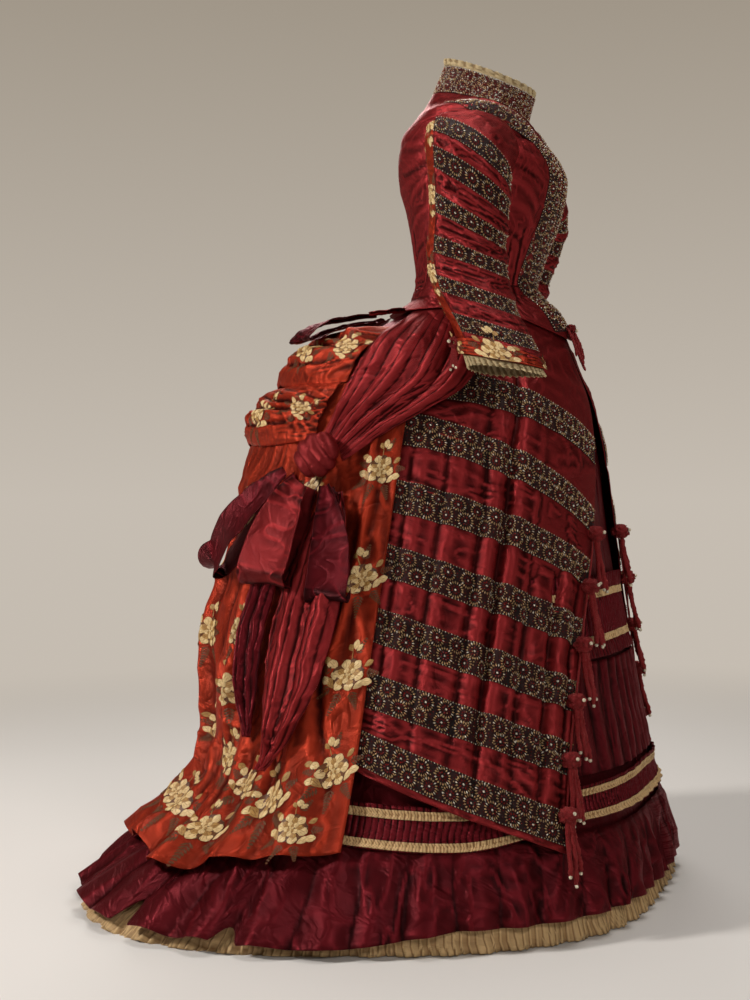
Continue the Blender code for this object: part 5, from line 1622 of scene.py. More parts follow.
PANEL_FRONT = table(
    PanelEdge,
    (0.139, 50.0), (0.259, 46.0), (0.346, 41.7), (0.47, 33.0), (0.584, 21.7),
    (0.7, 12.0), (0.8, 5.0), (0.9, 1.0), (0.995, 0.3),
)
PANEL_CREASES = table(
    Crease,
    (0.47, 0.12, 0.45, 0.99, 0.0075, -0.011, 0.004), (0.42, 0.14, 0.4, 0.99, 0.018, 0.008, 0.004),
    (0.21, 0.3, 0.16, 0.99, 0.007, -0.0095, -0.004), (0.16, 0.32, 0.11, 0.98, 0.015, 0.006, -0.003),
    (0.31, 0.26, 0.29, 0.97, 0.009, -0.0055, 0.005), (0.35, 0.2, 0.34, 0.95, 0.008, 0.0034, -0.003),
    (0.6, 0.16, 0.58, 0.98, 0.01, -0.0062, -0.008), (0.54, 0.2, 0.52, 0.96, 0.012, 0.005, -0.004),
    (0.68, 0.22, 0.7, 0.98, 0.014, 0.005, 0.006), (0.76, 0.3, 0.74, 0.94, 0.008, -0.005, 0.003),
    (0.86, 0.24, 0.84, 0.98, 0.011, 0.0042, 0.003), (0.92, 0.34, 0.91, 0.92, 0.007, -0.004, 0.002),
    (0.06, 0.42, 0.05, 0.96, 0.007, -0.0044, 0.003), (0.98, 0.3, 0.66, 0.318, 0.005, 0.004, 0.005),
    (0.9, 0.332, 0.62, 0.326, 0.004, -0.0034, -0.003), (0.97, 0.425, 0.7, 0.452, 0.005, 0.0042, -0.005),
    (0.86, 0.446, 0.56, 0.438, 0.004, -0.0032, 0.003), (0.98, 0.56, 0.6, 0.574, 0.005, 0.0042, 0.007),
    (0.94, 0.592, 0.66, 0.585, 0.0042, -0.0034, -0.004), (0.97, 0.69, 0.62, 0.712, 0.0052, 0.0044, -0.006),
    (0.9, 0.722, 0.54, 0.7, 0.0042, -0.0034, 0.004), (0.98, 0.822, 0.58, 0.842, 0.0055, 0.0044, 0.006),
    (0.3, 0.3, 0.04, 0.33, 0.005, 0.0036, -0.004), (0.28, 0.44, 0.03, 0.455, 0.0046, -0.0034, 0.004),
    (0.26, 0.566, 0.02, 0.59, 0.005, 0.0036, -0.003), (0.24, 0.7, 0.02, 0.716, 0.0046, -0.0034, 0.003),
    (0.3, 0.83, 0.03, 0.85, 0.0052, 0.0036, -0.004),
)


@dataclass(frozen=True)
class Overskirt:
    """A satin front of the overskirt, with seven double beaded bands across it."""

    side: Side
    back_angle: float = 99.0
    band_height: float = 0.051
    hem: float = 0.01
    seat: float = 0.0013
    hip_stand: float = 0.009
    hip_fade: Pair = (0.925, 0.8)
    knee_stand: float = 0.0085
    knee_fade: Pair = (0.6, 0.27)
    turn: float = 90.0
    plain: tuple[float, ...] = (WAIST_HEIGHT, 0.972, 0.945, 0.905)
    bands: tuple[PanelBand, ...] = (
        PanelBand(0.87, 0.0, 0.11),
        PanelBand(0.794, 0.052, 0.134),
        PanelBand(0.688, 0.08, 0.1),
        PanelBand(0.59, 0.14, 0.05),
        PanelBand(0.492, 0.165, 0.04),
        PanelBand(0.398, 0.18, 0.04),
        PanelBand(0.314, 0.245, 0.0),
    )
    crumple: Crumple = Crumple(0.0062, (0.42, 0.78), (0.09, 0.03), 61)
    band_feather: Pair = (0.012, 0.004)
    band_inset: float = 0.006
    cut: Cut = Cut(96, 200)

    def lines(self) -> list[tuple[PanelBand, float]]:
        """The lines across the panel from the waist down, each with its drop below a band's edge."""
        rows = [(PanelBand(height, 0.0, 0.0), 0.0) for height in self.plain]
        for band in self.bands:
            rows += [(band, 0.0), (band, self.band_height)]
        return rows + [(self.bands[-1], self.band_height + self.hem)]

    def line_height(self, line: tuple[PanelBand, float], angle: Array) -> Array:
        """Height of a line at an angle."""
        band, drop = line
        forward = (self.back_angle - angle) / self.turn
        return band.height - drop - band.slope * forward - band.bend * forward**2

    def shares(self) -> Array:
        """How far down the panel each of its lines is."""
        heights = np.array([self.line_height(line, np.array([60.0]))[0] for line in self.lines()])
        return (heights[0] - heights) / (heights[0] - heights[-1])

    def height(self, v: Array, angle: Array) -> Array:
        """Height of a share down the panel at an angle."""
        knots = self.shares()
        levels = np.stack([self.line_height(line, angle) for line in self.lines()])
        row = np.clip(np.searchsorted(knots, v, side="right") - 1, 0, len(knots) - 2)
        s = (v - knots[row]) / (knots[row + 1] - knots[row])
        upper = np.take_along_axis(levels, row[None], 0)[0]
        lower = np.take_along_axis(levels, row[None] + 1, 0)[0]
        return upper + s * (lower - upper)

    def front_angle(self, v: Array) -> Array:
        """Where the front edge is at a share down the panel."""
        shares = np.linspace(0.0, 1.0, 300)
        angle = np.full_like(shares, 20.0)
        for _ in range(12):
            angle = read(PANEL_FRONT, "angle", self.height(shares, angle))
        return np.interp(v, shares, angle)

    def stand(self, height: Array) -> Array:
        """How far the panel's wrong side stands from the form, more below the hips and the knees."""
        hips, knees = ease(*self.hip_fade, height), ease(*self.knee_fade, height)
        return self.seat + self.hip_stand * hips + self.knee_stand * knees

    def surface(self, u: Array, v: Array, out: Array) -> Array:
        """The panel's right side, from its front edge back and from the waist down."""
        front = self.front_angle(v)
        angle = front + u * (self.back_angle - front)
        height = self.height(v, angle)
        knots = self.shares()
        banded = np.zeros_like(v)
        far, near = self.band_feather
        for upper, lower in zip(knots[4:-1:2], knots[5::2]):
            inside = plateau(upper - far, upper + near, lower - near, lower + far, v)
            banded = np.maximum(banded, inside)
        fine = self.crumple.rise(u, v, 0.4) * (1 - 0.65 * banded)
        folds = 1.15 * creased(PANEL_CREASES, self.crumple.extent, u, v)
        hems = ease(0.0, 0.05, u) * ease(0.0, 0.15, v)
        lift = self.stand(height)
        over_band = plateau(0.52, 0.56, 0.7, 0.74, height) * ease(0.45, 0.3, u)
        deepest = -(0.6 - 0.8 * over_band) * lift
        rise = np.maximum((fine + folds) * hems, deepest)
        return FORM.cloth(self.side.value * angle, height, lift + CLOTH + rise + out)

    def band(self, number: int, u: Array, v: Array, out: Array) -> Array:
        """A beaded band's net, made from the satin's points moved out."""
        upper, lower = self.shares()[4 + 2 * number : 6 + 2 * number]
        across = self.band_inset + u * (1 - 2 * self.band_inset)
        return self.surface(across, upper + v * (lower - upper), NET_LIFT + out)

    def build(self) -> None:
        """Builds the panel and its bands."""
        side = self.side.label
        satin, node = f"overskirt_{side}_satin", f"overskirt_{side}"
        cloth_piece(satin, CRIMSON_SATIN, self.cut, self.surface, [node])
        nets = [partial(self.band, number) for number in range(len(self.bands))]
        beaded_bands(f"overskirt_band_{side}", nets, TWO_ROWS, 170)


class TrainColumn(NamedTuple):
    """The train's lower and upper edges at an angle from the front."""

    angle: float
    low: float
    high: float


class TrainFold(NamedTuple):
    """A long fold of the train: its angle, its half width in degrees, its depth and where it starts."""

    angle: float
    half_width: float
    depth: float
    top: float


TRAIN_COLUMNS = table(
    TrainColumn,
    (96.5, 0.132, 0.935), (108.0, 0.11, 0.935), (120.0, 0.088, 0.9),
    (130.0, 0.064, 0.85), (140.0, 0.078, 0.84), (160.0, 0.064, 0.84),
    (180.0, 0.06, 0.84),
)
TRAIN_FOLDS = table(
    TrainFold,
    (107.6, 5.6, 0.01, 0.45), (118.8, 5.6, 0.018, 0.3), (129.9, 5.6, 0.026, 0.5),
    (144.0, 7.0, 0.02, 0.6), (158.0, 7.0, 0.024, 0.7), (180.0, 8.0, 0.03, 0.72),
)
TRAIN_CREASES = table(
    Crease,
    (0.03, 0.1, 0.1, 0.55, 0.012, -0.006, 0.01), (0.06, 0.3, 0.04, 0.72, 0.01, 0.005, -0.008),
    (0.12, 0.04, 0.16, 0.52, 0.014, -0.006, -0.01), (0.15, 0.35, 0.11, 0.8, 0.011, 0.0056, 0.008),
    (0.2, 0.05, 0.2, 0.62, 0.015, -0.007, 0.01), (0.25, 0.1, 0.23, 0.74, 0.012, 0.006, -0.006),
    (0.3, 0.04, 0.27, 0.66, 0.015, -0.007, 0.012), (0.36, 0.1, 0.33, 0.8, 0.012, 0.006, 0.008),
    (0.42, 0.04, 0.41, 0.75, 0.016, -0.007, -0.01), (0.47, 0.1, 0.46, 0.9, 0.012, 0.005, 0.006),
    (0.54, 0.06, 0.55, 0.84, 0.012, 0.0054, -0.008), (0.59, 0.04, 0.6, 0.72, 0.016, -0.007, 0.01),
    (0.65, 0.1, 0.67, 0.82, 0.012, 0.006, -0.006), (0.7, 0.05, 0.73, 0.66, 0.015, -0.0068, -0.012),
    (0.76, 0.12, 0.78, 0.72, 0.012, 0.0056, 0.008), (0.81, 0.05, 0.8, 0.6, 0.015, -0.0068, -0.008),
    (0.86, 0.34, 0.89, 0.8, 0.011, 0.0056, -0.008), (0.89, 0.04, 0.84, 0.52, 0.014, -0.006, 0.01),
    (0.95, 0.3, 0.96, 0.7, 0.01, 0.005, 0.008), (0.97, 0.1, 0.9, 0.55, 0.012, -0.006, -0.01),
)


class Puff(NamedTuple):
    """A puff of the bustle: its edges' heights and lifts, its bulge, and how far round it goes."""

    name: str
    high: float
    high_lift: float
    low: float
    low_lift: float
    bulge: float
    start: float
    seed: int


PUFFS = (
    Puff("puff_upper", 0.948, 0.0011, 0.846, 0.0205, 0.027, 121.5, 71),
    Puff("puff_lower", 0.838, 0.0218, 0.752, 0.0232, 0.024, 123.5, 75),
)
PUFF_CREASES = table(
    Crease,
    (0.02, 0.55, 0.34, 0.8, 0.007, -0.008, 0.006), (0.02, 0.45, 0.4, 0.55, 0.007, -0.009, -0.004),
    (0.03, 0.35, 0.36, 0.25, 0.007, -0.008, 0.004), (0.04, 0.62, 0.24, 0.92, 0.006, 0.005, 0.005),
    (0.98, 0.55, 0.66, 0.8, 0.007, -0.008, -0.006), (0.98, 0.45, 0.6, 0.55, 0.007, -0.009, 0.004),
    (0.97, 0.35, 0.64, 0.25, 0.007, -0.008, -0.004), (0.96, 0.62, 0.76, 0.92, 0.006, 0.005, -0.005),
    (0.38, 0.95, 0.44, 0.45, 0.008, -0.007, 0.008), (0.5, 0.98, 0.49, 0.4, 0.008, -0.006, -0.006),
    (0.62, 0.95, 0.56, 0.45, 0.008, -0.007, -0.008), (0.46, 0.05, 0.52, 0.5, 0.008, -0.006, 0.008),
    (0.34, 0.08, 0.3, 0.42, 0.007, -0.006, -0.005), (0.68, 0.08, 0.71, 0.42, 0.007, -0.006, 0.005),
)


@dataclass(frozen=True)
class Train:
    """The brocade train and the puffs into which it is drawn up over the bustle."""

    panel: Overskirt
    seat: float = 0.003
    crumple: Crumple = Crumple(0.014, (1.3, 0.85), (0.07, 0.11), 65)
    crease_share: float = 2.4
    rise_limits: Pair = (-0.012, 0.018)
    cut: Cut = Cut(220, 118)
    puff_cut: Cut = Cut(180, 56)
    puff_extent: Pair = (0.62, 0.16)
    sag: float = 0.012

    def form_lift(self, angle: Array, height: Array) -> Array:
        """Distance from the form to the train's wrong side, with its long folds standing out."""
        turn = np.where(np.abs(angle) <= 180, np.abs(angle), 360 - np.abs(angle))
        lift = self.panel.stand(height) + CLOTH + BEAD_RISE + self.seat
        for fold in TRAIN_FOLDS:
            share = ease(fold.half_width, 0.0, np.abs(turn - fold.angle))
            lift = lift + fold.depth * share * ease(fold.top, 0.08, height)
        return lift

    def surface(self, u: Array, v: Array, out: Array) -> Array:
        """The train's right side, round the back and from its hem up."""
        start = TRAIN_COLUMNS[0].angle
        angle = start + u * (360 - 2 * start)
        turn = np.minimum(angle, 360 - angle)
        low, high = read(TRAIN_COLUMNS, "low", turn), read(TRAIN_COLUMNS, "high", turn)
        height = low + v * (high - low)
        folds = self.crease_share * creased(TRAIN_CREASES, self.crumple.extent, u, v)
        rise = folds + self.crumple.rise(u, v, 0.4)
        rise = rise * plateau(0.0, 0.02, 0.98, 1.0, u) * ease(0.95, 0.8, v)
        rise = np.clip(rise, *self.rise_limits)
        return FORM.cloth(angle, height, self.form_lift(angle, height) + CLOTH + rise + out)

    def puff(self, spec: Puff, u: Array, v: Array, out: Array) -> Array:
        """A puff's right side, drawn together at its ends and along both edges."""
        angle = spec.start + u * (360 - 2 * spec.start)
        sag = self.sag * np.abs(np.sin(2.5 * np.pi * u + 0.4)) ** 0.8 * (1 - v)
        height = spec.low + v * (spec.high - spec.low) - sag
        seat = spec.low_lift + v * (spec.high_lift - spec.low_lift)
        ends = plateau(0.0, 0.12, 0.88, 1.0, u)
        folds = 1 + 0.14 * np.cos(6 * np.pi * u + 5 * v)
        swell = np.maximum(np.sin(np.pi * v), 0.0) ** 0.7
        bulge = spec.bulge * swell * (0.35 + 0.65 * ends) * folds
        small = Crumple(0.012, self.puff_extent, (0.06, 0.04), spec.seed).rise(u, v, 0.5)
        rise = creased(PUFF_CREASES, self.puff_extent, u, v) + small
        return FORM.cloth(angle, height, seat + CLOTH + bulge + rise * swell + out)

    def build(self) -> None:
        """Builds the train and its puffs."""
        cloth_piece(
            "train_brocade", ROSE_BROCADE, self.cut, self.surface,
            ["train"],
        )
        for spec in PUFFS:
            cloth_piece(
                f"{spec.name}_brocade", ROSE_BROCADE, self.puff_cut, partial(self.puff, spec),
                [spec.name],
            )


class PetalRing(NamedTuple):
    """A ring of the rose's petals: how many, where they start, their size and their thread."""

    count: int
    start: float
    length: float
    width: float
    finish: int


class Leaf(NamedTuple):
    """A leaf or bud petal: its root, the way it grows in degrees, its size and its thread."""

    x: float
    y: float
    turn: float
    length: float
    width: float
    finish: int


class Fern(NamedTuple):
    """A fern: its root, the way it grows in degrees, its length and its pairs of leaves."""

    x: float
    y: float
    turn: float
    length: float
    pairs: int


@dataclass(frozen=True)
class RoseSpray:
    """A woven rose with its bud, leaves and ferns, as a motif laid on brocade."""

    base: float = 0.00035
    rise: float = 0.00075
    layer: float = 0.0003
    stem_width: float = 0.0012
    fern_lean: float = 52.0
    fern_leaf: float = 0.0095
    fern_width: float = 0.0034
    petal_rings: tuple[PetalRing, ...] = table(
        PetalRing,
        (5, 0.0, 0.0255, 0.025, 2), (6, 0.0085, 0.0175, 0.0158, 0), (5, 0.006, 0.0135, 0.0112, 1),
        (5, 0.0028, 0.0102, 0.0082, 0), (3, 0.0005, 0.007, 0.0056, 1), (3, 0.0, 0.0044, 0.0038, 0),
    )
    leaves: tuple[Leaf, ...] = table(
        Leaf,
        (0.022, -0.012, -75.0, 0.02, 0.012, 0), (0.016, -0.02, -42.0, 0.02, 0.011, 1),
        (-0.023, -0.01, 80.0, 0.02, 0.012, 0), (-0.018, -0.02, 40.0, 0.019, 0.0105, 0),
        (0.021, 0.01, -60.0, 0.018, 0.012, 0), (0.03, 0.018, -80.0, 0.016, 0.01, 1),
        (0.003, 0.038, -6.0, 0.015, 0.012, 0), (0.007, 0.036, -46.0, 0.013, 0.0085, 1),
        (0.0, 0.036, 38.0, 0.013, 0.0085, 0), (-0.022, 0.014, 48.0, 0.016, 0.0095, 1),
    )
    ferns: tuple[Fern, ...] = table(
        Fern,
        (0.004, -0.024, 190.0, 0.04, 8), (-0.014, -0.022, 150.0, 0.034, 7),
        (0.02, -0.018, 232.0, 0.032, 7), (-0.026, 0.004, 80.0, 0.026, 5),
        (0.024, 0.004, -78.0, 0.026, 5), (0.0, 0.03, 24.0, 0.03, 6),
    )

    def leaf(
        self, shape: BMesh, place: Matrix, length: float, width: float, finish: int, segments: int = 4
    ) -> None:
        """Adds one rounded leaf or petal, along the place's y.

        Args:
            shape: The motif.
            place: Where it grows from.
            length: Its length.
            width: Its width.
            finish: The number of its thread.
            segments: How fine its grid is.
        """
        cut = {"x_segments": segments, "y_segments": segments}
        made = bmesh.ops.create_grid(shape, **cut, size=0.5, calc_uvs=True)
        for vert in made["verts"]:
            across, along = 2 * vert.co.x, min(max(vert.co.y + 0.5, 0.02), 0.98)
            reach = math.sin(math.pi * along**1.15) ** 0.6 * width / 2
            height = self.base + self.rise * (1 - across**2) * math.sin(math.pi * along)
            vert.co = place @ Vector((across * reach, along * length, height))
        for face in {face for vert in made["verts"] for face in vert.link_faces}:
            face.material_index = finish

    def fern(self, shape: BMesh, fern: Fern) -> None:
        """Adds a fern: a stem with small leaves in pairs that shorten toward its tip."""
        root = Matrix.Translation((fern.x, fern.y, 0)) @ Matrix.Rotation(math.radians(fern.turn), 4, "Z")
        self.leaf(shape, root, fern.length, self.stem_width, 2, 2)
        for index in range(fern.pairs):
            share = (index + 0.8) / (fern.pairs + 0.8)
            for lean in (-self.fern_lean, self.fern_lean):
                place = root @ Matrix.Translation((0, share * fern.length, 0))
                place = place @ Matrix.Rotation(math.radians(lean), 4, "Z")
                self.leaf(shape, place, self.fern_leaf * (1.15 - share), self.fern_width, 2, 2)

    def motif(self) -> Mesh:
        """The whole spray, flat."""
        shape = bmesh.new()
        shape.loops.layers.uv.new("cloth")
        for fern in self.ferns:
            self.fern(shape, fern)
        for x, y, turn, length, width, finish in self.leaves:
            place = Matrix.Translation((x, y, self.layer)) @ Matrix.Rotation(math.radians(turn), 4, "Z")
            self.leaf(shape, place, length, width, finish)
        stem = Matrix.Translation((0.001, 0.012, 0)) @ Matrix.Rotation(math.radians(-14), 4, "Z")
        self.leaf(shape, stem, 0.028, 0.0018, 1, 3)
        for ring, (count, start, length, width, finish) in enumerate(self.petal_rings):
            for index in range(count):
                turn = math.radians(360 * (index + 0.5 * ring) / count)
                height = self.layer * (ring + 2)
                place = Matrix.Rotation(turn, 4, "Z") @ Matrix.Translation((0, start, height))
                self.leaf(shape, place, length, width, finish)
        return as_mesh("rose_spray", shape)

    def scatter(self, name: str, surface: Surface, places: tuple[Place, ...]) -> None:
        """Lays sprays on one brocade cloth."""
        meshes = [laid_mesh(self.motif(), surface, places)]
        joined_piece(name, meshes, (CREAM_THREAD, GOLD_THREAD, BROWN_THREAD))


TRAIN_SPRAYS = table(
    Place,
    (0.032, 0.71, 10, 0.95), (0.03, 0.5, -8), (0.028, 0.325, 12, 1.05), (0.03, 0.15, -8, 1.05),
    (0.06, 0.045, 10, 0.95), (0.11, 0.11, -14, 1.1), (0.165, 0.155, 30, 0.95),
    (0.182, 0.065, -12, 1.05), (0.15, 0.72, 170, 0.95), (0.226, 0.48, 12, 0.95),
    (0.236, 0.365, -20, 1.1), (0.226, 0.215, 14), (0.29, 0.72, -12), (0.335, 0.47, 10),
    (0.32, 0.26, 6), (0.275, 0.07, -12, 1.05), (0.345, 0.08, 16), (0.38, 0.6, 15),
    (0.39, 0.37, -8), (0.4, 0.16, 170, 1.05), (0.46, 0.74, 10), (0.47, 0.5, -14),
    (0.48, 0.27, 8, 1.05), (0.48, 0.08, -6, 1.05), (0.54, 0.62, 165), (0.55, 0.38, 12),
    (0.56, 0.17, -10, 1.05), (0.62, 0.73, -8), (0.63, 0.49, 14), (0.64, 0.26, -12),
    (0.65, 0.07, 10, 1.05), (0.71, 0.6, 10), (0.72, 0.37, -14), (0.73, 0.16, 165, 1.05),
    (0.79, 0.7, -12), (0.8, 0.47, 12), (0.81, 0.25, 10), (0.82, 0.07, -10, 1.05),
    (0.87, 0.6, 8), (0.88, 0.36, -10), (0.88, 0.16, 12), (0.95, 0.82, -12, 0.95),
    (0.95, 0.5, 12), (0.94, 0.27, -10), (0.95, 0.08, 8),
)
PUFF_SPRAYS = table(
    Place,
    (0.07, 0.5, 60, 0.85), (0.22, 0.42, 20, 0.95), (0.43, 0.45, -20, 0.95),
    (0.58, 0.6, 25, 0.95), (0.74, 0.48, -25, 0.95), (0.9, 0.55, -60, 0.8),
)
CUFF_SPRAYS = table(
    Place,
    (0.225, 0.55, 180, 0.95), (0.45, 0.6, 170, 0.6), (0.72, 0.6, 190, 0.6), (0.95, 0.6, 175, 0.6),
)
UNDER_SLEEVE_SPRAYS = table(
    Place,
    (0.12, 0.12, 10, 0.72), (0.4, 0.24, -15, 0.72), (0.14, 0.4, 12, 0.72), (0.62, 0.36, 8, 0.72),
    (0.42, 0.56, -10, 0.72), (0.14, 0.7, 12, 0.72), (0.68, 0.68, -12, 0.72), (0.4, 0.84, 8, 0.72),
)


class SwagRow(NamedTuple):
    """A level of the swag from the waist to its knot: the places of its back and front edges."""

    along: float
    back_angle: float
    back_height: float
    front_angle: float
    front_height: float


class RibbonRow(NamedTuple):
    """A step along a ribbon: its middle's angle, height and lift, and the ribbon's width there."""

    along: float
    angle: float
    height: float
    lift: float
    width: float


class TailRow(NamedTuple):
    """A level of a sash's hanging tail: its height, its middle's angle and half its width in degrees."""

    along: float
    height: float
    angle: float
    half_angle: float


SWAG = table(
    SwagRow,
    (0.0, 117.0, 0.9702, 62.0, 0.9702), (0.2, 118.0, 0.925, 66.0, 0.885),
    (0.4, 119.0, 0.875, 74.0, 0.831), (0.6, 119.5, 0.835, 88.0, 0.794),
    (0.8, 120.0, 0.795, 101.0, 0.759), (1.0, 121.0, 0.752, 113.0, 0.712),
)
BOW_LOOP_FRONT = table(
    RibbonRow,
    (0.0, 120.0, 0.67, 0.06, 0.038), (0.15, 122.0, 0.64, 0.064, 0.066),
    (0.32, 123.5, 0.58, 0.068, 0.098), (0.46, 124.0, 0.53, 0.068, 0.104),
    (0.54, 124.2, 0.512, 0.056, 0.104), (0.62, 124.0, 0.524, 0.0425, 0.098),
    (0.8, 122.5, 0.61, 0.0391, 0.066), (1.0, 120.5, 0.67, 0.0386, 0.034),
)
BOW_LOOP_SIDE = table(
    RibbonRow,
    (0.0, 114.3, 0.668, 0.054, 0.018), (0.18, 111.5, 0.62, 0.056, 0.046),
    (0.34, 109.0, 0.56, 0.058, 0.066), (0.46, 108.0, 0.505, 0.056, 0.07),
    (0.54, 108.0, 0.492, 0.048, 0.07), (0.62, 108.0, 0.504, 0.0398, 0.066),
    (0.8, 111.0, 0.6, 0.0386, 0.044), (1.0, 114.3, 0.668, 0.0386, 0.018),
)
BOW_LOOP_BACK = table(
    RibbonRow,
    (0.0, 126.6, 0.69, 0.05, 0.022), (0.16, 133.5, 0.65, 0.056, 0.06),
    (0.34, 142.0, 0.59, 0.064, 0.086), (0.46, 147.0, 0.545, 0.064, 0.094),
    (0.54, 148.0, 0.533, 0.054, 0.094), (0.62, 147.0, 0.545, 0.038, 0.088),
    (0.8, 138.0, 0.625, 0.0276, 0.056), (1.0, 126.8, 0.69, 0.0254, 0.02),
)
WAIST_LOOP = table(
    RibbonRow,
    (0.0, 172.0, 0.962, 0.025, 0.022), (0.18, 163.0, 0.941, 0.0395, 0.048),
    (0.36, 154.0, 0.914, 0.0575, 0.07), (0.46, 151.0, 0.896, 0.0625, 0.074),
    (0.54, 150.0, 0.887, 0.0595, 0.074), (0.62, 151.0, 0.894, 0.05, 0.07),
    (0.82, 162.0, 0.937, 0.0282, 0.042), (1.0, 171.0, 0.96, 0.0132, 0.022),
)
WAIST_TIP = table(
    RibbonRow,
    (0.0, 126.0, 0.97, 0.0125, 0.026), (0.35, 129.0, 0.96, 0.023, 0.04),
    (0.7, 131.0, 0.95, 0.031, 0.032), (1.0, 132.0, 0.94, 0.041, 0.006),
)
SASH_TAIL = table(
    TailRow,
    (0.0, 0.664, 114.0, 3.0), (0.2, 0.575, 113.0, 6.5), (0.4, 0.48, 112.8, 7.8),
    (0.6, 0.39, 113.2, 7.2), (0.8, 0.29, 115.5, 4.2), (1.0, 0.228, 117.5, 1.2),
)
SASH_TAIL_BACK = table(
    TailRow,
    (0.0, 0.668, 123.5, 2.0), (0.3, 0.56, 125.5, 3.4), (0.6, 0.45, 126.5, 4.0),
    (0.85, 0.34, 125.5, 2.8), (1.0, 0.285, 124.5, 1.0),
)


@dataclass(frozen=True)
class Ribbon:
    """A ribbon of the bow or the sashes, in soft lengthwise folds."""

    rows: tuple[RibbonRow, ...]
    crease: float
    side: Side
    extent: Pair
    seed: int
    folds: int = 3
    fold_depth: float = 0.003
    ripple: float = 0.003
    grain: Pair = (0.05, 0.016)

    def middle(self, along: Array) -> Array:
        """Points along the ribbon's middle."""
        angle, height = read(self.rows, "angle", along), read(self.rows, "height", along)
        return FORM.cloth(self.side.value * angle, height, read(self.rows, "lift", along))

    def surface(self, u: Array, v: Array, out: Array) -> Array:
        """The ribbon's outer side, across it and from its start to its end."""
        step = 0.01
        heading = unit(self.middle(np.minimum(v + step, 1.0)) - self.middle(np.maximum(v - step, 0.0)))
        angle, height = self.side.value * read(self.rows, "angle", v), read(self.rows, "height", v)
        aside = FORM.point(angle + 1, height) - FORM.point(angle - 1, height)
        aside = unit(aside - heading * (aside * heading).sum(-1, keepdims=True))
        face = np.cross(heading, aside)
        bend = self.crease * np.cos(2 * np.pi * (u - 0.5))
        wander = u + 0.05 * soft_noise(3 * u, 4 * v, self.seed)
        inside = np.sin(np.pi * np.clip(u, 0, 1))
        folds = self.fold_depth * np.cos(2 * np.pi * self.folds * wander) * inside
        ripple = Crumple(self.ripple, self.extent, self.grain, self.seed + 1).rise(u, v, 0.5)
        width = read(self.rows, "width", v)
        tight = 0.45 + 0.55 * ease(0.012, 0.06, width)
        depth = bend + (folds + ripple) * tight + CLOTH / 2 + out
        return self.middle(v) + aside * ((u - 0.5) * width)[..., None] + face * depth[..., None]


LOOP_FOLDS = ((0.07, 0.24), 91, 2, 0.002, 0.0024)


